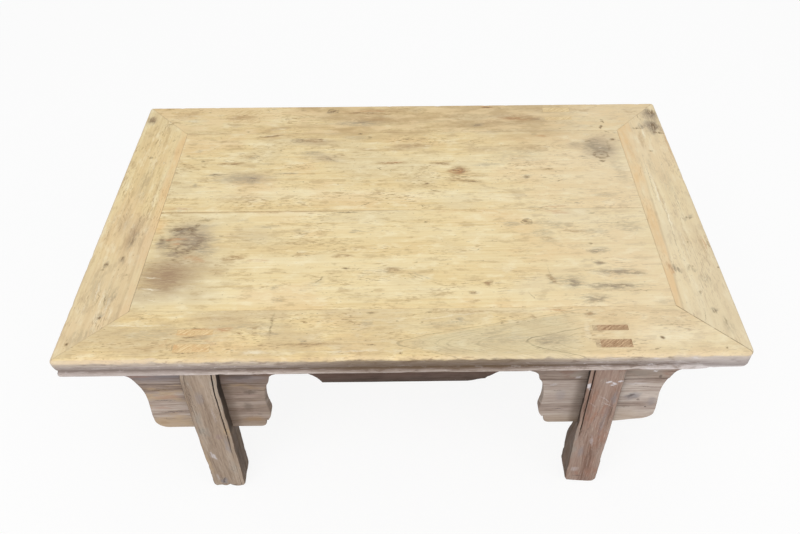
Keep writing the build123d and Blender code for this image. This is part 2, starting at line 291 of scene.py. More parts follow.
def set_camera():
    data = bpy.data.cameras.new("camera")
    data.sensor_fit = "HORIZONTAL"
    data.sensor_width = SENSOR
    data.lens = FOCAL_PIXELS * SENSOR / IMAGE_WIDTH
    data.shift_x = -CENTRE_RIGHT_PIXELS / IMAGE_WIDTH
    data.shift_y = -CENTRE_UP_PIXELS / IMAGE_WIDTH
    data.clip_start = 0.01
    camera = bpy.data.objects.new("camera", data)
    bpy.context.scene.collection.objects.link(camera)
    turn = Matrix.Rotation(CAMERA_YAW, 4, "Z")
    tilt = Matrix.Rotation(math.pi / 2 - CAMERA_DOWN, 4, "X")
    roll = Matrix.Rotation(CAMERA_ROLL, 4, "Z")
    camera.matrix_world = Matrix.Translation(CAMERA_PLACE) @ turn @ tilt @ roll
    bpy.context.scene.camera = camera


LAMPS = {
    "key": dict(place=(-0.9, -1.5, 2.3), size=1.8, power=24),
    "fill": dict(place=(1.6, -1.2, 1.8), size=1.8, power=10),
    "low": dict(place=(0.0, -2.2, 0.7), size=1.6, power=9),
    "back": dict(place=(0.2, 1.8, 2.2), size=1.8, power=9),
}


def set_lamps():
    for name, lamp in LAMPS.items():
        data = bpy.data.lights.new(name, "AREA")
        data.shape = "DISK"
        data.size = lamp["size"]
        data.energy = lamp["power"]
        light = bpy.data.objects.new(name, data)
        bpy.context.scene.collection.objects.link(light)
        light.location = lamp["place"]
        aim = Vector((0, 0, 0.2)) - light.location
        light.rotation_euler = aim.to_track_quat("-Z", "Y").to_euler()


def white_to_lens(tree):
    """1 where the camera, a reflection or a clear body looks on, 0 for light."""
    path = tree.nodes.new("ShaderNodeLightPath")
    seen = tree.nodes.new("ShaderNodeMath")
    seen.operation = "MAXIMUM"
    tree.links.new(path.outputs["Is Camera Ray"], seen.inputs[0])
    tree.links.new(path.outputs["Is Glossy Ray"], seen.inputs[1])
    seen_all = tree.nodes.new("ShaderNodeMath")
    seen_all.operation = "MAXIMUM"
    tree.links.new(seen.outputs[0], seen_all.inputs[0])
    tree.links.new(path.outputs["Is Transmission Ray"], seen_all.inputs[1])
    return seen_all.outputs[0]


WORLD_LIGHT = 0.55


def set_world():
    world = bpy.data.worlds.new("studio")
    bpy.context.scene.world = world
    world.use_nodes = True
    tree = world.node_tree
    tree.nodes.clear()
    light = tree.nodes.new("ShaderNodeBackground")
    light.inputs["Color"].default_value = (1, 1, 1, 1)
    light.inputs["Strength"].default_value = WORLD_LIGHT
    white = tree.nodes.new("ShaderNodeBackground")
    white.inputs["Color"].default_value = (1, 1, 1, 1)
    white.inputs["Strength"].default_value = 1
    choose = tree.nodes.new("ShaderNodeMixShader")
    out = tree.nodes.new("ShaderNodeOutputWorld")
    tree.links.new(white_to_lens(tree), choose.inputs[0])
    tree.links.new(light.outputs[0], choose.inputs[1])
    tree.links.new(white.outputs[0], choose.inputs[2])
    tree.links.new(choose.outputs[0], out.inputs["Surface"])


FLOOR_HALF = 6.0
FLOOR_WHITE_SHARE = 0.88


def set_floor():
    bm = bmesh.new()
    bmesh.ops.create_grid(bm, x_segments=2, y_segments=2, size=FLOOR_HALF)
    mesh = bpy.data.meshes.new("floor")
    bm.to_mesh(mesh)
    bm.free()
    floor = bpy.data.objects.new("floor", mesh)
    bpy.context.scene.collection.objects.link(floor)
    paper = bpy.data.materials.new("studio_paper")
    paper.use_nodes = True
    tree = paper.node_tree
    tree.nodes.clear()
    matt = tree.nodes.new("ShaderNodeBsdfDiffuse")
    matt.inputs["Color"].default_value = (0.9, 0.9, 0.9, 1)
    glow = tree.nodes.new("ShaderNodeEmission")
    glow.inputs["Strength"].default_value = 1
    share = tree.nodes.new("ShaderNodeMath")
    share.operation = "MULTIPLY"
    share.inputs[1].default_value = FLOOR_WHITE_SHARE
    both = tree.nodes.new("ShaderNodeMixShader")
    out = tree.nodes.new("ShaderNodeOutputMaterial")
    tree.links.new(white_to_lens(tree), share.inputs[0])
    tree.links.new(share.outputs[0], both.inputs[0])
    tree.links.new(matt.outputs[0], both.inputs[1])
    tree.links.new(glow.outputs[0], both.inputs[2])
    tree.links.new(both.outputs[0], out.inputs["Surface"])
    mesh.materials.append(paper)


set_camera()
set_lamps()
set_world()
set_floor()
bpy.context.scene.view_settings.view_transform = "Standard"


# ---- Materials: a small kit ---------------------------------------------------------------------------


def tone(red, green, blue):
    """A colour given as it looks, 0 to 255, in the light's own scale."""
    return (*[((c / 255 + 0.055) / 1.055) ** 2.4 for c in (red, green, blue)], 1)


GROUP = 12


class Finish:
    """A material's nodes, added one after another."""

    def __init__(self, name):
        self.material = bpy.data.materials.new(name)
        self.material.use_nodes = True
        self.tree = self.material.node_tree
        self.tree.nodes.clear()
        spot = self.node("ShaderNodeTexCoord")
        self.x, self.y, self.z = self.split(spot.outputs["Object"])
        self.facing = self.split(spot.outputs["Normal"])
        self.last = None

    def node(self, kind, **settings):
        made = self.tree.nodes.new(kind)
        for key, value in settings.items():
            setattr(made, key, value)
        return made

    def feed(self, socket, value):
        if isinstance(value, bpy.types.NodeSocket):
            self.tree.links.new(value, socket)
        else:
            socket.default_value = value

    def maths(self, operation, *values, clamp=False):
        made = self.node("ShaderNodeMath", operation=operation, use_clamp=clamp)
        for socket, value in zip(made.inputs, values):
            self.feed(socket, value)
        return made.outputs[0]

    def add(self, a, b):
        return self.maths("ADD", a, b)

    def times(self, a, b):
        return self.maths("MULTIPLY", a, b)

    def most(self, a, b):
        return self.maths("MAXIMUM", a, b)

    def size(self, a):
        return self.maths("ABSOLUTE", a)

    def vector(self, operation, *values):
        made = self.node("ShaderNodeVectorMath", operation=operation)
        for socket, value in zip(made.inputs, values):
            self.feed(socket, value)
        return made.outputs["Value" if operation == "LENGTH" else "Vector"]

    def split(self, vector):
        made = self.node("ShaderNodeSeparateXYZ")
        self.feed(made.inputs[0], vector)
        return made.outputs[0], made.outputs[1], made.outputs[2]

    def join(self, x, y, z=0.0):
        made = self.node("ShaderNodeCombineXYZ")
        for socket, value in zip(made.inputs, (x, y, z)):
            self.feed(socket, value)
        return made.outputs[0]

    def centred(self, vector, place, turn, size):
        """A flat place measured from another, turned by degrees and divided by a size."""
        made = self.node("ShaderNodeMapping", vector_type="TEXTURE")
        self.feed(made.inputs["Vector"], vector)
        made.inputs["Location"].default_value = (place[0] * MM, place[1] * MM, 0)
        made.inputs["Rotation"].default_value = (0, 0, math.radians(turn))
        made.inputs["Scale"].default_value = (size[0] * MM, size[1] * MM, 1)
        return made.outputs[0]

    def noise(self, vector, scale=(1, 1, 1), detail=2.0, roughness=0.5, colour=False, warp=0.0):
        placed = self.node("ShaderNodeMapping", vector_type="POINT")
        self.feed(placed.inputs["Vector"], vector)
        placed.inputs["Scale"].default_value = scale
        made = self.node("ShaderNodeTexNoise")
        self.feed(made.inputs["Vector"], placed.outputs[0])
        made.inputs["Scale"].default_value = 1
        made.inputs["Detail"].default_value = detail
        made.inputs["Roughness"].default_value = roughness
        made.inputs["Distortion"].default_value = warp
        return made.outputs["Color" if colour else "Fac"]

    def step(self, value, low, high, to_low=0.0, to_high=1.0):
        """A smooth step between two values."""
        made = self.node("ShaderNodeMapRange", interpolation_type="SMOOTHSTEP", clamp=False)
        for socket, number in zip(made.inputs, (value, low, high, to_low, to_high)):
            self.feed(socket, number)
        return made.outputs[0]

    def share(self, value, low, high, to_low=0.0, to_high=1.0):
        """A straight run between two values."""
        made = self.node("ShaderNodeMapRange")
        for socket, number in zip(made.inputs, (value, low, high, to_low, to_high)):
            self.feed(socket, number)
        return made.outputs[0]

    def ramp(self, value, *stops):
        """Colours at places from 0 to 1."""
        made = self.node("ShaderNodeValToRGB")
        band = made.color_ramp
        band.elements[0].position, band.elements[0].color = stops[0]
        band.elements[1].position, band.elements[1].color = stops[-1]
        for position, colour in stops[1:-1]:
            band.elements.new(position).color = colour
        self.feed(made.inputs[0], value)
        return made.outputs[0]

    def mix(self, share, a, b, blend="MIX"):
        made = self.node("ShaderNodeMix", data_type="RGBA", blend_type=blend)
        colours = [s for s in made.inputs if s.type == "RGBA"]
        self.feed(made.inputs[0], share)
        self.feed(colours[0], a)
        self.feed(colours[1], b)
        return [s for s in made.outputs if s.type == "RGBA"][0]

    def blend(self, share, a, b):
        """Between two plain numbers."""
        made = self.node("ShaderNodeMix", data_type="FLOAT")
        self.feed(made.inputs[0], share)
        self.feed(made.inputs[2], a)
        self.feed(made.inputs[3], b)
        return made.outputs[0]

    def ragged(self, flat, amounts, scales):
        """A flat place shifted about, in millimetres each way, so that marks on it get uneven outlines."""
        shift = self.noise(flat, (*scales, 1), 5, 0.72, colour=True)
        shift = self.vector("SUBTRACT", shift, (0.5, 0.5, 0.5))
        return self.vector("MULTIPLY_ADD", shift, (amounts[0] * MM, amounts[1] * MM, 0), flat)

    def spots(self, flat, marks, soft=0.35):
        """Where oval marks lie: each is x, y, half length, half width, turn and strength."""
        total = None
        for number, (x, y, long, wide, turn, strength) in enumerate(marks):
            if number % GROUP == 0 and self.last:
                flat = self.in_turn(flat)
            away = self.vector("LENGTH", self.centred(flat, (x, y), turn, (long, wide)))
            spot = self.step(away, soft, 1, strength, 0)
            total = spot if total is None else self.most(total, spot)
            self.last = total
        return total

    def in_turn(self, flat):
        """The same place, made to wait for the last mark, so that few values are held at once."""
        x, y, z = self.split(flat)
        return self.join(self.maths("MULTIPLY_ADD", self.last, 1e-9, x), y, z)

    def finish(self, colour, height, bump=0.3, depth=0.4 * MM, matt=(0.58, 0.72)):
        shader = self.node("ShaderNodeBsdfPrincipled")
        self.feed(shader.inputs["Base Color"], colour)
        self.feed(shader.inputs["Roughness"], self.share(height, 0.35, 0.65, matt[1], matt[0]))
        shader.inputs["Specular IOR Level"].default_value = 0.25
        relief = self.node("ShaderNodeBump")
        relief.inputs["Strength"].default_value = bump
        relief.inputs["Distance"].default_value = depth
        self.feed(relief.inputs["Height"], height)
        self.tree.links.new(relief.outputs[0], shader.inputs["Normal"])
        out = self.node("ShaderNodeOutputMaterial")
        self.tree.links.new(shader.outputs[0], out.inputs["Surface"])
        return self.material


# ---- Sanded elm of the top ---------------------------------------------------------------------------------

INK = tone(118, 94, 64)
ASH = tone(170, 156, 130)
SLATE = tone(144, 129, 110)
UMBER = tone(164, 130, 90)
RUST = tone(190, 136, 92)
MAUVE = tone(158, 130, 102)
SMOKE = tone(175, 156, 133)
CHALK = tone(246, 238, 214)
HONEY = tone(228, 188, 130)

STAINS = {"ink": INK, "ash": ASH, "slate": SLATE, "umber": UMBER, "rust": RUST, "mauve": MAUVE, "smoke": SMOKE, "chalk": CHALK,
          "honey": HONEY}


def grain_run(f, along, across, seed, knots=(), sway=9 * MM):
    """Lines of grain: where a place lies along and across them, bent by slow drift and round knots."""
    flat = f.join(along, across, seed)
    drift = f.noise(flat, (1.6, 5, 1), 2)
    across = f.add(across, f.share(drift, 0, 1, -sway, sway))
    for x, y, long, wide, turn, strength in knots:
        away = f.vector("LENGTH", f.centred(flat, (x, y), turn, (long, wide)))
        across = f.blend(f.step(away, 0.1, 1, strength, 0), across, y * MM)
    return f.join(along, across, seed)


def sanded_elm(
    name, grain, seed, marks, knots=(), rings=(), edge=False, tint=None, dusk=None, pored=(0.05, 0.8), speckled=0.5
):
    """Pale sanded elm with fine dark pores, slow bands, smudges and placed marks."""
    f = Finish(name)
    along, across = (f.x, f.y) if grain == 0 else (f.y, f.x)
    turned = [(x, y, l, w, t, s) if grain == 0 else (y, x, l, w, t, s) for x, y, l, w, t, s in knots]
    run = grain_run(f, along, across, seed, turned)
    bands = f.noise(run, (1.5, 24, 1), 3, 0.55)
    streaks = f.noise(run, (9, 300, 1), 2, 0.6)
    level = f.add(f.times(bands, 0.6), f.times(streaks, 0.4))
    colour = f.ramp(
        level,
        (0.36, tone(222, 196, 145)),
        (0.45, tone(230, 207, 156)),
        (0.53, tone(234, 214, 166)),
        (0.64, tone(239, 223, 181)),
    )
    flat = f.join(f.x, f.y)
    slow = f.noise(run, (5, 8, 1), 3, 0.6)
    colour = f.mix(f.step(slow, 0.5, 0.64, 0, 0.4), colour, tone(216, 200, 162))
    colour = f.mix(f.step(slow, 0.5, 0.38, 0, 0.35), colour, tone(228, 194, 147))
    mottle = f.noise(run, (30, 80, 1), 4, 0.65)
    colour = f.mix(f.step(mottle, 0.52, 0.68, 0, 0.5), colour, tone(245, 233, 197))
    colour = f.mix(f.step(mottle, 0.47, 0.33, 0, 0.5), colour, tone(190, 164, 120))
    clusters = f.noise(run, (12, 30, 1), 3, 0.6)
    pores = f.noise(run, (95, 640, 1), 2, 0.6)
    fleck = f.times(f.step(pores, 0.46, 0.36), f.step(clusters, 0.48, 0.64, *pored))
    colour = f.mix(fleck, colour, tone(172, 142, 100))
    specks = f.noise(run, (180, 380, 1), 1)
    colour = f.mix(f.step(specks, 0.3, 0.21, 0, speckled), colour, tone(132, 106, 76))
    grit = f.step(f.noise(run, (90, 400, 1), 3, 0.7), 0.38, 0.56, 0.4, 1)
    bleach = f.step(f.add(f.x, f.share(slow, 0.3, 0.7, -90 * MM, 90 * MM)), 60 * MM, 330 * MM, 0, 0.36)
    colour = f.mix(bleach, colour, tone(231, 218, 192))
    if tint:
        colour = tint(f, colour)
    frayed = f.ragged(flat, (14, 9), (70, 90))
    torn = f.ragged(flat, (46, 14), (22, 60)) if grain == 0 else f.ragged(flat, (14, 46), (60, 22))
    for stain, places in marks.items():
        fine = stain in ("ink", "chalk")
        broad = stain in ("mauve", "smoke", "honey")
        mask = f.spots(frayed if fine else torn, places, 0 if broad else 0.1 if fine else 0.2)
        mask = f.times(mask, f.share(grit, 0.4, 1, 0.8 if broad else 0.2, 1))
        colour = f.mix(mask, colour, STAINS[stain])
    for x, y, long, wide, turn, strength in rings:
        away = f.vector("LENGTH", f.centred(frayed, (x, y), turn, (long, wide)))
        wave = f.maths("SINE", f.times(f.add(away, f.share(pores, 0.3, 0.7, 0, 0.3)), 10.0))
        ring = f.times(f.step(wave, -0.2, 0.9), f.step(away, 0.6, 1.2, strength, 0))
        colour = f.mix(f.times(ring, grit), colour, tone(134, 112, 86))
    if edge:
        colour = moulded_edge(f, colour, along, seed, dusk)
    return f.finish(colour, f.add(f.times(streaks, 0.5), f.times(pores, 0.5)), 0.35, 0.35 * MM)


def moulded_edge(f, colour, along, seed, dusk):
    """The rail's worn edge: pale arris, grey band, dark quirk and a lighter bead, brown underneath; the quirk's dark
    and the bead's light are painted shade and highlight.
    """
    side_run = f.join(along, f.z, f.add(f.add(f.x, f.y), seed))
    uneven = f.noise(side_run, (22, 150, 30), 4, 0.65)
    height = f.add(f.z, f.share(uneven, 0, 1, -2.6 * MM, 2.6 * MM))
    level = f.share(height, RAIL_BOTTOM, TOP)
    # Painted shade and highlight by height, over the band's own grey-brown: darker down the band to the quirk, lighter
    # on the bead as if lit from above, dark again under its lip.
    side = f.ramp(
        level,
        (0.02, tone(124, 108, 94)),
        (0.07, tone(194, 181, 174)),
        (0.15, tone(172, 158, 150)),
        (0.25, tone(118, 103, 94)),
        (0.34, tone(98, 83, 72)),
        (0.42, tone(128, 113, 102)),
        (0.58, tone(149, 136, 128)),
        (0.84, tone(191, 175, 154)),
    )
    lines = f.noise(side_run, (14, 620, 40), 3, 0.65)
    side = f.mix(f.step(lines, 0.49, 0.36, 0, 0.4), side, tone(104, 86, 74))
    side = f.mix(f.step(lines, 0.54, 0.68, 0, 0.35), side, tone(214, 203, 198))
    grime = f.noise(side_run, (34, 110, 30), 4, 0.7)
    side = f.mix(f.step(grime, 0.47, 0.34, 0, 0.55), side, tone(106, 88, 76))
    side = f.mix(f.step(grime, 0.58, 0.68, 0, 0.4), side, tone(220, 212, 210))
    if dusk:
        low, high, fade, depth = dusk
        inside = f.times(
            f.step(along, (low - fade) * MM, (low + fade) * MM), f.step(along, (high + fade) * MM, (high - fade) * MM)
        )
        depth = f.step(level, 0.08, 0.3, 0.55 * depth, depth)
        side = f.mix(f.times(inside, depth), side, tone(86, 64, 36))
        wander = f.add(along, f.share(grime, 0.3, 0.7, -60 * MM, 60 * MM))
        paler = f.step(level, 0.14, 0.3, 1, 0.45)
        side = f.mix(f.times(f.step(wander, -200 * MM, -320 * MM, 0, 0.5), paler), side, tone(180, 168, 164))
        side = f.mix(f.times(f.step(wander, 270 * MM, 420 * MM, 0, 0.75), paler), side, tone(210, 203, 203))
    rounded = f.times(f.step(f.facing[2], 0.97, 0.75, 0, 0.6), f.step(f.x, -240 * MM, -340 * MM, 0.25, 1))
    colour = f.mix(rounded, colour, tone(208, 188, 166))
    over = f.share(uneven, 0.3, 0.7, -2.2 * MM, 2.2 * MM)
    colour = f.mix(f.step(f.add(f.z, over), TOP - 3 * MM, TOP - 7 * MM), colour, side)
    return f.mix(f.step(f.facing[2], -0.4, -0.8), colour, tone(150, 124, 96))


def mitre_line(f, colour):
    """A dark line where two rails meet: clear at one corner, nearly lost at the others."""
    off = f.add(f.add(f.size(f.x), f.times(f.size(f.y), -1.0)), HALF_WIDTH - HALF_LENGTH)
    broken = f.step(f.noise(f.join(f.x, f.y), (60, 60, 1), 3, 0.6), 0.36, 0.54, 0.25, 1)
    line = f.times(f.step(f.size(off), 1.5 * MM, 0.3 * MM), broken)
    corner = f.times(f.step(f.x, 0, 0.1), f.step(f.y, 0, -0.1))
    return f.mix(f.times(line, f.share(corner, 0, 1, 0.08, 0.62)), colour, tone(128, 100, 68))


def flame_grain(f, colour):
    """The front rail's tongue of growth rings, opening to the right, and its mitre lines."""
    wobble = f.noise(f.join(f.x, f.y), (22, 60, 1), 3, 0.6)
    across = f.times(f.add(f.y, FLAME_MIDDLE), FLAME_SLOPE)
    reach = f.maths("SQRT", f.maths("MULTIPLY_ADD", across, across, FLAME_ROUND**2))
    ring = f.add(f.add(f.x, f.times(reach, -1.0)), f.share(wobble, 0, 1, -14 * MM, 14 * MM))
    ring = f.add(ring, FLAME_ROUND)
    inside = f.times(f.step(ring, -8 * MM, 24 * MM), f.step(f.x, 245 * MM, 205 * MM))
    colour = f.mix(f.times(inside, 0.42), colour, tone(204, 194, 162))
    threads = f.noise(f.join(ring, f.times(f.y, 0.4)), (190, 30, 1), 3, 0.7)
    fading = f.step(wobble, 0.4, 0.56, 0.1, 0.42)
    colour = f.mix(f.times(inside, f.times(f.step(threads, 0.5, 0.36), fading)), colour, tone(158, 142, 112))
    for tip, width, strength in FLAME_LINES:
        off = f.size(f.add(ring, -tip * MM))
        line = f.times(f.step(off, width * MM, 0.25 * width * MM), f.step(wobble, 0.36, 0.5, 0.3, 1))
        line = f.times(line, f.step(f.x, 262 * MM, 225 * MM, 0, strength))
        colour = f.mix(line, colour, tone(140, 126, 98))
    smoky = f.noise(f.join(f.x, f.y), (14, 26, 1), 4, 0.65)
    left = f.times(f.step(smoky, 0.36, 0.6), f.step(f.x, 60 * MM, -120 * MM, 0.25, 0.5))
    colour = f.mix(left, colour, tone(198, 174, 136))
    return mitre_line(f, colour)


def old_wash(f, colour):
    """The browner stretch along the back rail, running over onto the board beside it."""
    cloud = f.noise(f.join(f.x, f.y), (7, 20, 1), 4, 0.65)
    wander = f.share(cloud, 0.3, 0.7, -60 * MM, 60 * MM)
    length = f.add(f.x, wander)
    stretch = f.times(f.step(length, -230 * MM, -130 * MM), f.step(length, 340 * MM, 240 * MM))
    back = f.step(f.add(f.y, f.times(wander, 0.4)), 170 * MM, 222 * MM)
    share = f.times(f.times(f.add(f.times(stretch, 0.8), 0.2), back), f.step(cloud, 0.32, 0.6, 0.3, 0.8))
    return f.mix(share, colour, tone(190, 162, 118))


def board_seam(f, colour):
    """The joint between the panel's boards: a brown line at the left, nearly lost further right."""
    fading = f.noise(f.join(f.x, f.y), (30, 60, 1), 3, 0.6)
    wander = f.add(f.x, f.share(fading, 0.3, 0.7, -60 * MM, 60 * MM))
    line = f.times(f.step(f.size(f.y), 4.2 * MM, 0.8 * MM), f.step(fading, 0.36, 0.5, 0.45, 1))
    return f.mix(f.times(line, f.step(wander, 20 * MM, -140 * MM, 0.1, 0.6)), colour, tone(164, 128, 88))


def back_rail_wash(f, colour):
    clouds = f.noise(f.join(f.x, f.y), (16, 44, 1), 4, 0.65)
    colour = f.mix(f.step(clouds, 0.46, 0.6, 0, 0.6), old_wash(f, colour), tone(232, 207, 162))
    colour = f.mix(f.step(clouds, 0.44, 0.34, 0, 0.4), colour, tone(176, 146, 108))
    return mitre_line(f, colour)


def end_strip(sign, outer_front, outer_back, strength):
    """The orange-tan strip along an end rail's inner edge, with its mitre lines."""

    def lay(f, colour):
        border = f.share(f.y, -OPENING_Y, OPENING_Y, outer_front * MM, outer_back * MM)
        wander = f.noise(f.join(f.x, f.y), (20, 14, 1), 2)
        off = f.add(f.times(f.x, sign), f.times(border, -1.0))
        off = f.add(off, f.share(wander, 0, 1, -4 * MM, 4 * MM))
        patchy = f.step(f.noise(f.join(f.x, f.y), (40, 11, 1), 3, 0.6), 0.36, 0.6, 0.2 * strength, strength)
        colour = f.mix(f.times(f.step(off, 2.5 * MM, -3.5 * MM), patchy), colour, tone(229, 191, 137))
        line = f.step(f.size(off), 3 * MM, 0.2 * MM, 0, 0.22)
        colour = f.mix(f.times(line, f.step(f.y, 0.1, -0.05, 0.3, 1)), colour, tone(158, 126, 84))
        front = f.step(f.add(f.y, f.share(wander, 0.3, 0.7, -60 * MM, 60 * MM)), 60 * MM, -140 * MM, 0.05, 0.3 if sign < 0 else 0.14)
        colour = f.mix(front, colour, tone(206, 190, 168))
        return mitre_line(f, colour)

    return lay


FLAME_MIDDLE = 257 * MM
FLAME_SLOPE = 5.5
FLAME_ROUND = 60 * MM
FLAME_LINES = [(158, 3.0, 0.75), (-4, 3.4, 0.5), (40, 2.4, 0.3), (96, 2.4, 0.25), (196, 2.0, 0.3)]

FRONT_BOARD_MARKS = {
    "smoke": [(-312, -58, 58, 56, 0, 0.8), (-292, -78, 36, 30, 0, 0.5), (-350, -70, 20, 34, 0, 0.5), (-225, -50, 60, 26, 0, 0.3)],
    "honey": [(-364, -32, 16, 26, 0, 0.7)],
    "ash": [
        (-285, -84, 20, 16, 0, 0.5), (-345, -72, 9, 18, 0, 0.6), (-300, -32, 22, 8, 0, 0.5),
        (-71, -47, 13, 5, 0, 0.6), (-152, -45, 18, 12, 0, 0.35), (-202, -34, 26, 5, 0, 0.5), (-124, -150, 20, 10, 40, 0.35),
        (-176, -158, 10, 7, 0, 0.6), (-172, -181, 11, 8, 0, 0.5), (164, -33, 20, 9, 0, 0.6), (232, -38, 30, 12, 0, 0.5),
        (207, -54, 22, 14, 0, 0.5), (117, -152, 9, 8, 0, 0.5), (340, -46, 30, 13, 0, 0.45), (284, -52, 28, 9, 0, 0.4),
        (-20, -126, 24, 10, 0, 0.45), (30, -140, 30, 3, -27, 0.4), (336, -42, 36, 14, 0, 0.4), (282, -91, 26, 11, 0, 0.5),
        (305, -135, 52, 11, -3, 0.5), (288, -161, 54, 11, 0, 0.55), (235, -152, 32, 20, 0, 0.6), (208, -146, 10, 18, 0, 0.4),
        (262, -183, 32, 13, 0, 0.55), (356, -192, 20, 8, 0, 0.4), (209, -33, 22, 9, 0, 0.4), (214, -70, 24, 12, 0, 0.35),
    ],
    "slate": [
        (-326, -42, 30, 16, 10, 0.8), (-300, -66, 30, 30, 0, 0.6), (-330, -90, 26, 10, 0, 0.7), (-352, -70, 12, 16, 0, 0.6), (236, -155, 15, 10, 0, 0.65), (305, -135, 48, 6, -4, 0.6),
        (290, -161, 50, 7, -3, 0.65), (262, -184, 22, 8, -6, 0.55), (282, -93, 19, 7, -4, 0.55), (280, -117, 16, 5, 0, 0.7),
        (210, -150, 14, 5, 30, 0.4), (-240, -20, 16, 5, 0, 0.2),
    ],
    "mauve": [(-332, -134, 78, 64, 4, 0.95), (-334, -118, 52, 26, 0, 0.55), (-300, -112, 62, 32, -10, 0.5), (-356, -168, 50, 30, 0, 0.45),
              (-290, -168, 50, 22, 0, 0.25)],
    "umber": [
        (-242, -100, 24, 7, 4, 0.8), (-88, -98, 22, 4, -6, 0.7), (-19, -126, 16, 6, 0, 0.7), (-140, -93, 16, 5, 0, 0.5),
        (209, -66, 14, 6, 0, 0.4), (117, -152, 11, 8, 30, 0.8), (208, -146, 6, 16, 16, 0.6), (257, -51, 20, 6, 0, 0.6), (97, -170, 13, 5, 0, 0.6), (-190, -130, 12, 4, 0, 0.4), (12, -60, 14, 3, 0, 0.3),
        (96, -186, 10, 5, 20, 0.5), (-262, -128, 18, 10, 0, 0.35), (-60, -80, 18, 4, 0, 0.4),
    ],
    "rust": [(-332, -60, 20, 4, 4, 0.8), (-330, -70, 12, 3, 10, 0.5), (-300, -100, 26, 6, -18, 0.6), (-205, -105, 26, 5, 0, 0.35), (92, -4, 60, 2, 0, 0.3),
             (232, -8, 34, 7, -6, 0.4)],
    "chalk": [(-351, -137, 19, 2.2, -8, 0.7), (-348, -158, 19, 2.2, -6, 0.7), (-340, -178, 14, 1.2, -4, 0.5)],
    "ink": [
        (-334, -38, 20, 6, 14, 0.9), (-314, -40, 12, 8, -30, 0.85), (-308, -30, 7, 7, 0, 0.8), (-296, -18, 16, 5, 10, 0.6), (-354, -62, 5, 16, 10, 0.6), (-310, -84, 6, 4.5, 0, 0.95),
        (-330, -102, 14, 3, -6, 0.6), (-309, -50, 12, 2, -30, 0.55), (-268, -54, 4, 2.8, 0, 0.9), (-152, -50, 4, 2.6, 0, 0.9),
        (-81, -122, 9, 2.6, -10, 0.85), (-116, -143, 12, 1.6, 50, 0.7), (186, -29, 9.5, 8, 0, 0.85), (35, -28, 3, 3, 0, 0.95),
        (97, -170, 8, 2.6, 10, 0.6), (177, -178, 12, 1.2, -60, 0.5), (18, -139, 19, 1.2, -27, 0.5), (274, -78, 5, 3, 0, 0.8),
        (-86, -4.5, 30, 1.8, 0, 0.75), (310, -33.5, 52, 0.9, 1, 0.5), (324, -170, 44, 1.1, 0, 0.6), (205, -132, 1, 20, 3, 0.35),
        (283, -117, 8, 2, 0, 0.5), (300, -159, 18, 2, -4, 0.5), (338, -139, 22, 1.6, -6, 0.45), (110, -88, 4, 1.5, 20, 0.6),
        (-140, -95, 10, 1.6, -14, 0.5), (45, -175, 8, 1.2, 15, 0.4), (288, -12, 9, 2, 0, 0.6), (205, -3, 26, 1.6, 0, 0.6),
        (-225, -62, 12, 1.2, 0, 0.35), (150, -100, 10, 1.2, 0, 0.35), (262, -130, 22, 1, 0, 0.4),
    ],
}

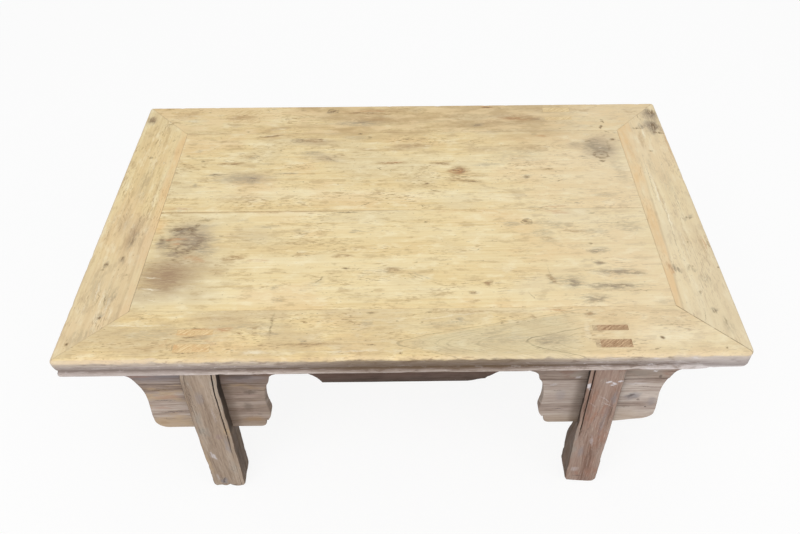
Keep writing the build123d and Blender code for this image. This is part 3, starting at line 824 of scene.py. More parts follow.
BACK_BOARD_MARKS = {
    "smoke": [(332, 150, 48, 50, 0, 0.8), (292, 156, 26, 16, 0, 0.5), (-250, 80, 80, 26, 0, 0.5), (-150, 172, 60, 16, 0, 0.5),
              (-128, 130, 56, 18, -12, 0.45), (10, 156, 56, 18, 0, 0.35)],
    "ash": [
        (326, 148, 32, 34, 0, 0.75), (293, 162, 16, 8, 0, 0.5), (-255, 78, 56, 18, 0, 0.6), (-150, 143, 28, 8, 0, 0.6),
        (-178, 177, 16, 8, 0, 0.5), (-248, 133, 11, 9, 0, 0.55), (-330, 63, 9, 7, 0, 0.6), (196, 76, 11, 8, 0, 0.5),
        (-340, 150, 10, 6, 0, 0.4), (315, 30, 26, 8, 0, 0.45), (190, 130, 60, 30, 0, 0.3), (-340, 4, 26, 12, 0, 0.3),
        (140, 108, 32, 7, 0, 0.5), (-75, 185, 40, 9, 0, 0.4), (350, 90, 16, 50, 0, 0.35), (300, -2, 22, 5, 0, 0.5),
    ],
    "slate": [
        (322, 150, 24, 24, 0, 0.35), (318, 168, 18, 12, 0, 0.45), (-240, 76, 14, 13, 0, 0.6), (-300, 88, 18, 4, 0, 0.75), (-188, 90, 24, 4, 0, 0.6),
        (-222, 115, 24, 4, 4, 0.25), (-120, 127, 20, 4, -38, 0.5), (269, 12, 5, 4, 0, 0.6), (299, 124, 9, 7, 0, 0.6),
    ],
    "umber": [
        (-280, 116, 28, 5, 3, 0.75), (-222, 190, 36, 4, 7, 0.8), (-148, 176, 46, 6, 0, 0.7), (14, 160, 50, 8, 0, 0.6), (-60, 150, 30, 5, -8, 0.5), (90, 94, 27, 16, 0, 0.9), (60, 112, 26, 5, -4, 0.75), (112, 84, 30, 8, -14, 0.5),
        (96, 70, 40, 8, -10, 0.6), (7, 179, 10, 5, 0, 0.6), (240, 95, 12, 4, 0, 0.5), (-250, 30, 70, 18, 0, 0.3),
        (-16, 114, 34, 5, 2, 0.7), (130, 150, 40, 12, 0, 0.35), (210, 150, 40, 16, 0, 0.4), (-20, 150, 30, 6, 0, 0.4),
        (250, 66, 12, 3, 20, 0.5), (60, 44, 16, 3, -10, 0.4), (-300, 176, 24, 5, 0, 0.35), (0, 70, 40, 8, 0, 0.2),
    ],
    "rust": [(90, 92, 20, 9, 0, 0.7), (236, 184, 16, 4, -10, 0.55), (-12, 116, 20, 2.4, 3, 0.6), (-342, 8, 26, 3, 0, 0.6), (232, 4, 30, 3, 0, 0.5)],
    "chalk": [(330, 150, 6, 2, 30, 0.4), (-100, 60, 40, 4, 0, 0.3), (160, 30, 60, 5, 0, 0.3)],
    "ink": [
        (355, 172, 7, 4.6, 10, 0.95), (330, 124, 14, 3, 0, 0.6), (312, 168, 10, 3, 20, 0.5), (344, 160, 3, 16, 0, 0.3), (340, 206, 1.6, 8, 12, 0.9), (350, 194, 8, 1.6, -24, 0.9), (363, 191, 6, 1.3, 0, 0.8),
        (327, 114, 8, 4, 0, 0.75), (345, 150, 3, 12, -10, 0.4), (58, 112, 19, 1.6, -5, 0.9), (95, 78, 26, 1.6, -6, 0.7),
        (108, 66, 20, 1.8, -8, 0.85), (38, 62, 4.5, 3.4, 0, 0.85), (48, 45, 7, 1.4, -32, 0.7), (66, 31, 10, 1.3, -18, 0.6),
        (7, 179, 6, 2.6, 0, 0.7), (-160, 174, 9, 2.2, 0, 0.7), (-140, 180, 6, 2, 10, 0.6), (-110, 134, 7, 2, -30, 0.6), (225, 189, 8, 3.4, 0, 0.9), (198, 75, 6.5, 5.5, 0, 0.65), (238, 96, 10, 1.8, 0, 0.6),
        (-264, 203, 5, 3, 0, 0.9), (-327, 123, 5, 3, 0, 0.85), (-354, 138, 5, 3.4, 0, 0.6), (-72, 195, 6, 3, 0, 0.95),
        (-57, 184, 5, 6, 0, 0.75), (-38, 100, 8, 1.6, -42, 0.85), (-58, 14, 11, 1.5, 32, 0.8), (-278, 115, 15, 2, 3, 0.6),
        (-300, 89, 13, 2, 0, 0.65), (-222, 191, 34, 1.8, 7, 0.55), (-118, 126, 16, 1.6, -40, 0.5), (-188, 90, 14, 1.8, 0, 0.5),
        (-12, 115, 18, 1.4, 3, 0.7), (206, 2.5, 26, 1.5, 0, 0.6), (248, 65, 9, 1.5, 22, 0.55), (-300, 47, 62, 0.8, 1, 0.35),
        (90, 93, 11, 2, 0, 0.5), (140, 120, 12, 1.4, -6, 0.5), (172, 158, 14, 1.4, 0, 0.4), (-140, 60, 8, 1.4, 0, 0.35),
    ],
}

FRONT_RAIL_MARKS = {
    "ash": [
        (-47, -222, 10, 8, 0, 0.5), (74, -217, 7, 6, 0, 0.8), (-129, -251, 8, 7, 0, 0.7), (-330, -235, 60, 20, 0, 0.35),
        (-200, -226, 70, 8, 0, 0.4), (130, -252, 60, 14, 0, 0.4), (196, -252, 34, 14, 0, 0.5), (60, -225, 60, 8, 8, 0.35),
        (250, -212, 14, 8, 0, 0.5), (340, -225, 40, 10, 0, 0.2), (-260, -243, 30, 5, 0, 0.5),
    ],
    "slate": [(-268, -240, 26, 3.4, 0, 0.6), (-175, -238, 30, 4, 0, 0.4), (180, -256, 16, 8, 10, 0.5), (120, -238, 30, 4, 14, 0.3)],
    "umber": [(-120, -256, 60, 5, 0, 0.45), (250, -211, 9, 5, 0, 0.7), (-197, -228, 8, 3, 0, 0.6), (90, -204, 80, 3, 0, 0.5),
              (-330, -262, 14, 6, 0, 0.4), (-250, -212, 50, 5, 0, 0.4)],
    "honey": [(-272, -236, 40, 10, 0, 0.7), (-280, -258, 32, 8, 0, 0.4)],
    "rust": [(-272, -229.5, 38, 2.2, 0, 0.85), (-235, -231, 12, 5, 0, 0.7), (-270, -266, 30, 1.8, 0, 0.6), (202, -203, 30, 1.5, 0, 0.8), (-308, -252, 5, 12, 0, 0.3),
             (-248, -252, 6, 9, 20, 0.3), (284, -213, 6, 2, 30, 0.6)],
    "chalk": [(-190, -268, 24, 6, 0, 0.6), (-350, -222, 60, 1.6, 0, 0.6), (350, -250, 60, 22, 0, 0.3), (241, -236, 5, 26, 0, 0.3),
              (-60, -268, 80, 3, 0, 0.4), (60, -212, 60, 2, 8, 0.4)],
    "ink": [
        (-44, -204, 9, 2.6, 0, 0.9), (35, -204, 5, 2.2, 0, 0.8), (-41, -259, 8, 1.3, -3, 0.95),
        (-3, -272, 3.6, 3, 0, 0.95), (337, -252, 4, 3.4, 0, 0.9), (325, -270, 3, 2, 0, 0.7), (415, -270, 3.4, 2.4, 0, 0.7),
        (-130, -255.5, 58, 1.5, 0, 0.5), (-348, -210, 6, 3.4, 0, 0.7), (-129, -252, 5, 1.6, 50, 0.6), (-279, -242, 13, 1.3, 0, 0.9), (-174, -223, 3, 27, -2, 0.6), (-275, -228, 22, 1.1, 0, 0.7), (-275, -268.4, 22, 1, 0, 0.6), (-297, -260, 1, 8, 0, 0.5),
        (-276, -250, 28, 1, 0, 0.5), (-274, -263, 24, 1, 4, 0.45), (-304, -256, 1.1, 7, 20, 0.5), (-250, -256, 1.1, 7, -24, 0.5),
        (72, -217, 4, 3, 0, 0.5), (284, -214, 6, 1, 40, 0.6), (355, -231, 44, 0.9, 2, 0.35), (356, -271, 20, 1, -10, 0.4),
        (-52, -232, 14, 1, 0, 0.3), (310, -214, 20, 1, 0, 0.3),
    ],
}

BACK_RAIL_MARKS = {
    "ash": [(-75, 225, 66, 13, 0, 0.75), (127, 217, 26, 9, 0, 0.7), (240, 232, 26, 9, 0, 0.6), (-360, 236, 30, 8, 0, 0.3),
            (-130, 258, 10, 6, 0, 0.4)],
    "umber": [(-60, 256, 56, 6, -1, 0.8), (-60, 238, 70, 16, 0, 0.5), (208, 238, 60, 17, -6, 0.65), (-280, 248, 34, 12, 0, 0.45), (278, 260, 30, 4, 0, 0.7),
              (150, 226, 40, 10, 0, 0.4), (-380, 250, 30, 12, 0, 0.3), (-20, 262, 70, 8, 0, 0.4)],
    "rust": [(149, 269, 12, 5, 0, 0.7), (-290, 238, 18, 2.6, 6, 0.6), (190, 236, 40, 7, -8, 0.35), (-60, 262, 60, 3, 0, 0.4)],
    "chalk": [(-360, 236, 26, 5, 0, 0.35), (330, 245, 40, 10, 0, 0.25)],
    "ink": [
        (-123, 262, 13, 7, 20, 0.95), (347, 224, 3, 8, 8, 0.9), (342, 208, 4, 9, -14, 0.9), (-68, 257, 42, 1.6, -1, 0.65), (150, 270, 13, 4.4, 0, 0.9), (172, 268, 4, 2, -40, 0.6),
        (128, 216, 12, 4, 0, 0.65), (286, 260, 10, 2, 0, 0.75), (260, 259, 12, 1.4, 0, 0.5), (-228, 270, 7, 3, 0, 0.6),
        (-175, 265, 7, 4, 0, 0.6), (-264, 203, 5, 3, 0, 0.9), (-284, 238, 14, 1.6, 6, 0.6), (-277, 253, 6, 3, 40, 0.5),
        (-340, 262, 5, 2, 0, 0.6), (-72, 226, 22, 2, 0, 0.4), (-110, 224, 14, 3, 0, 0.4), (190, 236, 26, 1.6, -6, 0.5),
    ],
}

LEFT_RAIL_MARKS = {
    "ash": [(-437, 238, 12, 16, 0, 0.7), (-404, -170, 10, 36, 0, 0.5), (-396, -62, 10, 22, -6, 0.7), (-425, -150, 12, 40, 0, 0.35),
            (-410, 60, 14, 60, 0, 0.3), (-404, -208, 8, 7, 0, 0.8), (-420, -240, 26, 14, 30, 0.4)],
    "slate": [(-395, -165, 6, 20, 0, 0.55), (-402, -96, 7, 10, 0, 0.5), (-422, -109, 7, 9, 0, 0.5)],
    "mauve": [(-400, -50, 14, 48, -6, 0.55), (-438, 244, 12, 14, 0, 0.6), (-418, -20, 12, 46, 0, 0.3)],
    "chalk": [(-410, -178, 2.4, 30, 4, 0.55), (-400, -190, 3, 24, -3, 0.5), (-420, -160, 2, 34, 3, 0.4), (-392, -200, 3, 16, 0, 0.4),
              (-430, -196, 2, 26, 0, 0.3), (-405, 120, 2, 50, 0, 0.3)],
    "umber": [(-388, 40, 4, 80, 0, 0.3), (-436, -30, 5, 60, 0, 0.35), (-400, 180, 8, 30, 0, 0.25)],
    "ink": [
        (-438, 240, 9, 10, 0, 0.75), (-402, 226, 18, 1.6, 0, 0.7), (-415, 134, 5.5, 4, 0, 0.6), (-397, -62, 5, 10, 0, 0.5),
        (-422, -109, 5.5, 4.4, 0, 0.8), (-402, -96, 4.4, 6, 0, 0.75), (-424, -120, 3, 2.4, 0, 0.8), (-390, -130, 4.4, 3, 0, 0.7),
        (-404, -208, 5.5, 4.4, 0, 0.85), (-406, -176, 1.2, 26, 5, 0.6), (-416, -170, 1, 30, 2, 0.5), (-397, -30, 1.2, 44, -3, 0.5),
        (-390, -10, 1, 60, -2, 0.4), (-426, 40, 0.9, 50, 2, 0.3), (-412, 90, 0.9, 60, 0, 0.3), (-396, 110, 0.9, 40, 0, 0.3),
        (-436, -252, 4.6, 3.8, 0, 0.9), (-386, 74, 3, 3, 0, 0.5),
    ],
}

RIGHT_RAIL_MARKS = {
    "ash": [(407, -127, 11, 10, 0, 0.6), (386, -131, 11, 8, 0, 0.8), (432, -25, 12, 6, 0, 0.6), (417, -210, 8, 8, 0, 0.8),
            (420, -150, 12, 12, 0, 0.4), (432, 222, 12, 34, 0, 0.5), (429, -236, 10, 24, 0, 0.4), (404, 100, 8, 30, 0, 0.3),
            (420, 60, 16, 60, 0, 0.25)],
    "smoke": [(434, 240, 22, 34, 0, 0.7), (430, 206, 26, 34, 0, 0.7)],
    "slate": [(386, -132, 8, 6, 0, 0.6), (417, -210, 5, 5, 0, 0.6), (436, 246, 16, 18, 0, 0.95), (432, 206, 15, 24, 0, 0.95),
              (414, 206, 16, 7, -6, 0.7)],
    "umber": [(400, 30, 3, 90, 0, 0.35), (436, -80, 4, 50, 0, 0.4), (416, -60, 4, 40, 0, 0.3), (404, 170, 6, 40, 0, 0.4)],
    "rust": [(380, -134, 4, 12, 0, 0.5), (440, -74, 2.4, 24, 0, 0.5), (446, 160, 3, 60, 0, 0.4)],
    "chalk": [(398, 40, 2, 60, -1, 0.8), (402, -20, 2, 60, -1, 0.7), (420, -150, 5, 1.6, 40, 0.7), (412, 190, 4, 20, -6, 0.7),
              (410, -80, 1.6, 50, 0, 0.5)],
    "ink": [
        (438, 250, 11, 11, 0, 0.85), (433, 208, 8, 17, -8, 0.9), (436, 190, 14, 4, -10, 0.8), (404, 203, 14, 4, -4, 0.85), (412, 139, 4.4, 3.4, 0, 0.8),
        (432, -24, 8, 3.4, 0, 0.65), (407, -126, 7, 5, 0, 0.6), (446, -128, 3, 3, 0, 0.8), (444, -78, 1.2, 20, -4, 0.85),
        (417, -210, 4, 4, 0, 0.55), (416, -76, 3, 2.4, 0, 0.7), (407, -176, 3, 7, 0, 0.5), (441, 188, 10, 1.4, -10, 0.7),
        (402, -218, 1, 11, -12, 0.7), (394, 60, 0.9, 90, -1.5, 0.5), (399, -60, 0.9, 90, -1.5, 0.5), (424, 0, 0.8, 60, 0, 0.35),
        (410, 80, 0.8, 50, 0, 0.3), (412, 238, 3, 14, 10, 0.5), (427, -226, 2, 12, 0, 0.35), (418, -150, 5, 1, 60, 0.4),
    ],
}


# ---- Weathered wood of the legs, aprons and spandrels ----------------------------------------------------------


def weathered(name, grain, seed, tones, patches=(), marks=None, sides=None, sway=10 * MM, knots=(), shade=None):
    """Old bare wood: tones from dark to light, uneven patches, dark pores and placed marks."""
    f = Finish(name)
    axes = [f.x, f.y, f.z]
    along = axes.pop(grain)
    across = f.add(axes[1], f.times(axes[0], 0.7)) if grain < 2 else f.add(axes[0], f.times(axes[1], 0.7))
    run = grain_run(f, along, across, seed, knots, sway)
    bands = f.noise(run, (5, 50, 1), 4, 0.6)
    streaks = f.noise(run, (18, 380, 1), 3, 0.6)
    level = f.add(f.times(bands, 0.62), f.times(streaks, 0.38))
    colour = f.ramp(level, *zip((0.36, 0.45, 0.53, 0.64), tones))
    clouds = f.noise(run, (12, 26, 1), 4, 0.65)
    for patch, low, high, strength in patches:
        colour = f.mix(f.step(clouds, low, high, 0, strength), colour, patch)
    pores = f.noise(run, (60, 700, 1), 2, 0.6)
    colour = f.mix(f.step(pores, 0.42, 0.32, 0, 0.26), colour, tone(84, 68, 56))
    colour = f.mix(f.step(pores, 0.6, 0.7, 0, 0.25), colour, tone(200, 190, 180))
    if shade:
        colour = shade(f, colour, clouds)
    if marks:
        frayed = f.ragged(f.join(f.x, f.z), (12, 12), (130, 130))
        front = f.step(f.facing[1], -0.3, -0.7)
        for stain, places in marks.items():
            mask = f.times(f.times(f.spots(frayed, places, 0.3), front), f.step(streaks, 0.38, 0.52, 0.55, 1))
            colour = f.mix(mask, colour, OLD_STAINS[stain])
    # Painted shade: the legs' side faces are darkened, darker above the fork and nearly black up by the spandrels,
    # where shadow falls between leg and spandrel.
    if sides:
        side = f.step(f.size(f.facing[0]), 0.55, 0.85)
        colour = f.mix(f.times(side, f.share(bands, 0.35, 0.65, 0.95, 0.6)), colour, sides)
        forked = f.times(side, f.step(f.z, 142 * MM, 160 * MM, 0, 0.75))
        colour = f.mix(forked, colour, tone(54, 42, 33))
        colour = f.mix(f.times(side, f.step(f.z, 190 * MM, 270 * MM, 0, 0.8)), colour, tone(30, 22, 17))
    return f.finish(colour, f.add(f.times(streaks, 0.6), f.times(pores, 0.4)), 0.5, 0.6 * MM, (0.62, 0.8))


OLD_STAINS = {
    "ink": tone(58, 45, 36), "ash": tone(152, 142, 130), "slate": tone(130, 126, 130), "umber": tone(146, 118, 88),
    "rust": tone(160, 116, 94), "mauve": tone(140, 116, 116), "chalk": tone(202, 196, 198),
}
# Painted shade: the dark brown given to the legs' side faces.
LEG_SIDE_PAINTED_SHADE = tone(76, 58, 43)

OLIVE_LEG = [tone(118, 100, 84), tone(142, 123, 106), tone(155, 137, 120), tone(170, 153, 137)]
RED_LEG = [tone(110, 82, 69), tone(134, 109, 96), tone(147, 124, 111), tone(162, 141, 130)]
GREY_BOARD = [tone(104, 86, 74), tone(142, 124, 112), tone(164, 148, 136), tone(186, 172, 162)]
PALE_BOARD = [tone(122, 104, 92), tone(158, 142, 132), tone(178, 164, 154), tone(198, 186, 176)]
DUSKY_BOARD = [tone(70, 54, 42), tone(96, 76, 62), tone(120, 100, 86), tone(150, 132, 118)]

SLATE_PATCH = (tone(142, 138, 130), 0.54, 0.68, 0.5)
TAN_PATCH = (tone(176, 150, 116), 0.46, 0.34, 0.6)
RED_PATCH = (tone(140, 96, 76), 0.47, 0.36, 0.5)
PINK_PATCH = (tone(182, 160, 150), 0.53, 0.66, 0.6)


def joint_line(f, colour, clouds):
    """The dark, slightly wandering line between an apron and the spandrel under it."""
    off = f.size(f.add(f.add(f.z, f.share(clouds, 0.3, 0.7, -1.2 * MM, 1.2 * MM)), -JOINT_LINE))
    where = f.step(f.size(f.x), SPANDREL_INNER_X - 2 * MM, SPANDREL_INNER_X + 4 * MM)
    return f.mix(f.times(f.step(off, 2.4 * MM, 0.6 * MM, 0, 0.5), where), colour, tone(70, 52, 42))


def apron_dirt_and_painted_shade(f, colour, clouds):
    """Painted shade under the overhanging top, darkest along the middle and up under the top."""
    from_middle = f.add(f.size(f.x), f.share(clouds, 0.3, 0.7, -16 * MM, 16 * MM))
    from_left = f.add(f.x, f.share(clouds, 0.3, 0.7, -30 * MM, 30 * MM))
    # Painted shade: the apron darkens towards its middle, where the top's overhang shades it.
    middle = f.times(f.step(from_middle, 170 * MM, 120 * MM), f.step(clouds, 0.34, 0.6, 1, 0.82))
    inner = f.step(from_middle, 275 * MM, 240 * MM, 0, 0.42)
    colour = f.mix(inner, colour, tone(88, 68, 56))
    colour = f.mix(middle, colour, tone(51, 37, 28))
    colour = f.mix(f.step(from_left, -195 * MM, -250 * MM, 0, 0.32), colour, tone(92, 73, 68))
    # Painted shade up under the top, weaker towards the right end.
    high = f.step(f.add(f.z, f.share(clouds, 0.3, 0.7, -6 * MM, 6 * MM)), 252 * MM, 276 * MM, 0, 0.55)
    high = f.times(high, f.step(f.x, 200 * MM, 100 * MM, 0.5, 1))
    colour = f.mix(high, colour, tone(96, 72, 62))
    return joint_line(f, colour, clouds)


def spandrel_tones_and_painted_shade(f, colour, clouds):
    """Browner on the leg's inner side, tan towards the foot, with painted shade beside the leg."""
    low = f.step(f.add(f.z, f.share(clouds, 0.3, 0.7, -14 * MM, 14 * MM)), 184 * MM, 150 * MM, 0, 0.4)
    colour = f.mix(low, colour, tone(176, 154, 130))
    inner = f.step(f.add(f.size(f.x), f.share(clouds, 0.3, 0.7, -8 * MM, 8 * MM)), 262 * MM, 240 * MM)
    inner = f.times(inner, f.step(f.x, -0.05, 0.05, 0.38, 0.2))
    colour = f.mix(inner, colour, tone(102, 84, 70))
    # Painted shade: the spandrel is darkened in a strip beside the leg.
    shade_beside_leg = f.step(f.size(f.add(f.size(f.x), -LEG_X)), 38 * MM, 26 * MM, 0, 0.5)
    colour = f.mix(shade_beside_leg, colour, tone(92, 74, 60))
    return joint_line(f, colour, clouds)


APRON_MARKS = {
    "slate": [(-335, 272, 70, 16, 0, 0.6), (-390, 276, 30, 10, 0, 0.4), (-215, 264, 40, 12, 0, 0.4)],
    "ash": [(236, 262, 14, 6, 20, 0.6), (330, 268, 40, 10, 0, 0.4)],
    "chalk": [(342, 270, 4, 3, 0, 0.9), (240, 258, 8, 2, 30, 0.5), (150, 283, 10, 1.5, 0, 0.3)],
    "rust": [(-360, 272, 30, 5, 0, 0.35)],
    "ink": [(-225, 268, 24, 8, 0, 0.5), (-395, 282, 8, 3, 0, 0.5), (352, 257, 3, 7, 20, 0.6)],
}
RIGHT_SPANDREL_MARKS = {
    "slate": [(322, 210, 17, 11, 20, 0.75), (352, 196, 8, 14, 0, 0.4), (220, 215, 10, 20, 0, 0.35)],
    "ink": [(320, 211, 9, 4, 25, 0.7), (346, 183, 3, 2.6, 0, 0.9), (332, 201, 4, 3, -30, 0.6), (214, 226, 10, 1.4, 8, 0.5),
            (338, 232, 18, 1.3, -4, 0.5), (318, 184, 18, 1.2, 3, 0.4), (220, 180, 12, 1.4, -3, 0.5)],
    "chalk": [(326, 240, 24, 3, 0, 0.5), (208, 240, 8, 3, 0, 0.4)],
}
LEFT_SPANDREL_MARKS = {
    "rust": [(-330, 222, 26, 6, 4, 0.4), (-345, 196, 20, 4, 0, 0.35)],
    "ink": [(-335, 240, 24, 1.8, 2, 0.6), (-338, 214, 24, 1.4, -3, 0.55), (-330, 186, 24, 1.6, 2, 0.5), (-340, 168, 16, 1.4, 0, 0.5),
            (-215, 232, 14, 6, 10, 0.5), (-222, 196, 10, 12, 0, 0.4), (-208, 176, 6, 3, 0, 0.5)],
    "umber": [(-218, 165, 22, 9, 0, 0.6), (-350, 158, 12, 6, 0, 0.4)],
}
LEFT_LEG_MARKS = {
    "chalk": [(-288, 90, 5, 13, 14, 0.7), (-290, 100, 3, 5, 0, 0.5), (-268, 200, 3, 26, 2, 0.2), (-292, 30, 4, 12, 0, 0.25)],
    "slate": [(-284, 18, 7, 14, -14, 0.8), (-262, 120, 5, 30, 0, 0.5), (-280, 240, 8, 20, 0, 0.4)],
    "mauve": [(-270, 143, 8, 8, 0, 0.5)],
    "ink": [(-284, 20, 2, 13, -16, 0.8), (-258, 170, 1.4, 60, 1, 0.4), (-276, 230, 1, 40, -1, 0.25), (-266, 60, 1.2, 36, 1, 0.3),
            (-290, 150, 1.2, 30, 0, 0.3), (-272, 4, 8, 3, 10, 0.7), (-291, 240, 0.9, 60, 0, 0.4), (-295, 230, 0.8, 60, 0, 0.4),
            (-262, 230, 1, 60, 0, 0.3)],
}
RIGHT_LEG_MARKS = {
    "chalk": [(277, 266, 6, 3, 20, 0.95), (285, 262, 6, 3.4, -30, 0.95), (292, 267, 5, 3, 24, 0.95), (281, 258, 4, 3, 12, 0.8),
              (251, 258, 3.4, 8, 0, 0.9), (254, 250, 2, 6, 0, 0.7),
              (276, 120, 3, 20, 8, 0.35), (262, 40, 8, 8, 0, 0.3), (277, 226, 16, 0.9, -42, 0.5), (284, 212, 15, 0.9, -36, 0.45),
              (262, 214, 12, 0.8, -50, 0.4)],
    "rust": [(268, 180, 4, 40, -9, 0.3), (280, 120, 4, 44, -9, 0.25), (262, 230, 6, 26, -6, 0.35), (286, 60, 5, 26, -8, 0.2)],
    "slate": [(290, 226, 5, 24, 0, 0.5), (284, 180, 5, 40, -4, 0.3), (264, 90, 6, 20, -6, 0.4), (284, 150, 3, 30, -6, 0.4)],
    "ink": [(274, 200, 1.2, 50, -7, 0.35), (284, 170, 1, 50, -7, 0.3), (264, 140, 1.2, 44, -8, 0.3), (276, 80, 1.2, 40, -9, 0.3),
            (290, 100, 1, 30, -6, 0.3), (268, 20, 10, 3, 0, 0.5)],
}


def tenon_top(name, seed, dark, light, rim, turn=38):
    """End grain with slanting streaks."""
    f = Finish(name)
    flat = f.ragged(f.join(f.x, f.y), (4, 4), (120, 120))
    run = f.centred(flat, (0, 0), turn, (1000, 1000))
    streaks = f.noise(f.vector("ADD", run, (seed, 0, 0)), (45, 420, 1), 3, 0.6)
    cells = f.noise(flat, (500, 500, 1), 2)
    colour = f.ramp(f.add(f.times(streaks, 0.75), f.times(cells, 0.25)), (0.38, dark), (0.6, light))
    patches = f.noise(flat, (40, 60, 1), 3, 0.6)
    colour = f.mix(f.step(patches, 0.46, 0.36, 0, 0.7), colour, rim)
    return f.finish(colour, streaks, 0.4, 0.4 * MM)


FRONT_BOARD_ELM = sanded_elm(
    "elm_front_board", 0, 3.7, FRONT_BOARD_MARKS, tint=board_seam, pored=(0, 0.62), speckled=0.4,
    knots=[(-313, -68, 70, 46, 0, 0.85), (186, -30, 40, 16, 0, 0.8), (-242, -100, 34, 12, 0, 0.7)],
    rings=[(-316, -80, 20, 16, 0, 0.7), (-320, -66, 36, 28, 8, 0.55), (186, -29, 12, 9, 0, 0.6)],
)
BACK_BOARD_ELM = sanded_elm(
    "elm_back_board", 0, 9.2, BACK_BOARD_MARKS, tint=old_wash, pored=(0.15, 0.85), speckled=0.55,
    knots=[(326, 142, 60, 50, 0, 0.85), (90, 94, 40, 16, 0, 0.8), (198, 75, 24, 11, 0, 0.7), (-178, 177, 26, 12, 0, 0.7)],
    rings=[(328, 131, 17, 15, 0, 0.75), (90, 93, 14, 9, 0, 0.6), (-178, 177, 16, 9, 0, 0.4)],
)
FRONT_RAIL_ELM = sanded_elm(
    "elm_front_rail", 0, 14.1, FRONT_RAIL_MARKS, knots=[(74, -217, 24, 10, 0, 0.6)], edge=True, tint=flame_grain,
    dusk=(-120, 190, 80, 0.66), pored=(0.3, 1), speckled=0.7,
)
BACK_RAIL_ELM = sanded_elm(
    "elm_back_rail", 0, 21.6, BACK_RAIL_MARKS, knots=[(-121, 259, 24, 10, 0, 0.7)], rings=[(-123, 262, 15, 10, 0, 0.6)], edge=True, tint=back_rail_wash,
    pored=(0.25, 1), speckled=0.6,
)
LEFT_RAIL_ELM = sanded_elm(
    "elm_left_rail", 1, 27.3, LEFT_RAIL_MARKS, knots=[(-415, 134, 10, 24, 0, 0.6)], edge=True, tint=end_strip(-1, 381, 380, 0.62),
)
RIGHT_RAIL_ELM = sanded_elm(
    "elm_right_rail", 1, 33.8, RIGHT_RAIL_MARKS, knots=[(407, -127, 12, 30, 0, 0.8), (432, -24, 9, 24, 0, 0.7)], edge=True,
    tint=end_strip(1, 377, 392, 0.68),
)

FRONT_APRON_WOOD = weathered("apron_elm_front", 0, 2.2, GREY_BOARD, [SLATE_PATCH, RED_PATCH], APRON_MARKS, shade=apron_dirt_and_painted_shade)
BACK_APRON_WOOD = weathered("apron_elm_back", 0, 5.8, GREY_BOARD, [SLATE_PATCH, TAN_PATCH], shade=apron_dirt_and_painted_shade)
END_APRON_WOOD = weathered("apron_elm_ends", 1, 8.4, GREY_BOARD, [SLATE_PATCH, TAN_PATCH])
RUNG_WOOD = weathered("stretcher_elm", 1, 4.9, DUSKY_BOARD, [TAN_PATCH])
BATTEN_WOOD = weathered("batten_elm", 1, 7.7, DUSKY_BOARD, [SLATE_PATCH])

SPANDREL_WOODS = {
    "front_left": weathered("spandrel_elm_left", 0, 1.3, GREY_BOARD, [PINK_PATCH, TAN_PATCH], LEFT_SPANDREL_MARKS,
                            shade=spandrel_tones_and_painted_shade, knots=[(-218, 200, 40, 20, 0, 0.6)]),
    "front_right": weathered("spandrel_elm_right", 0, 6.1, PALE_BOARD, [PINK_PATCH, SLATE_PATCH], RIGHT_SPANDREL_MARKS,
                             shade=spandrel_tones_and_painted_shade, knots=[(320, 211, 34, 14, 0, 0.8)]),
}
SPANDREL_WOODS["back_left"] = SPANDREL_WOODS["back_right"] = weathered(
    "spandrel_elm_back", 0, 11.9, GREY_BOARD, [PINK_PATCH, SLATE_PATCH], shade=spandrel_tones_and_painted_shade
)
LEG_WOODS = {
    "front_left": weathered("leg_elm_left", 2, 2.9, OLIVE_LEG, [SLATE_PATCH, TAN_PATCH], LEFT_LEG_MARKS, LEG_SIDE_PAINTED_SHADE),
    "front_right": weathered("leg_elm_right", 2, 7.3, RED_LEG, [SLATE_PATCH, RED_PATCH], RIGHT_LEG_MARKS, LEG_SIDE_PAINTED_SHADE,
                             sway=26 * MM),
}
LEG_WOODS["back_left"] = LEG_WOODS["back_right"] = weathered(
    "leg_elm_back", 2, 13.4, OLIVE_LEG, [SLATE_PATCH, RED_PATCH], sides=LEG_SIDE_PAINTED_SHADE
)
TENON_TOPS = {
    "front_left": tenon_top("tenon_end_left", 1, tone(206, 172, 122), tone(232, 206, 158), tone(210, 168, 118)),
    "front_right": tenon_top("tenon_end_right", 2, tone(146, 112, 80), tone(204, 174, 138), tone(176, 148, 114)),
}
TENON_TOPS["back_left"] = TENON_TOPS["back_right"] = tenon_top(
    "tenon_end_back", 3, tone(208, 180, 132), tone(232, 210, 164), tone(216, 188, 142)
)
WEDGE_TOPS = {
    "front_left": TENON_TOPS["front_left"],
    "front_right": tenon_top("wedge_end_right", 4, tone(176, 152, 120), tone(212, 190, 152), tone(160, 138, 112)),
    "back_left": TENON_TOPS["back_left"],
    "back_right": TENON_TOPS["back_left"],
}


# ---- Top frame: rails -----------------------------------------------------------------------------------


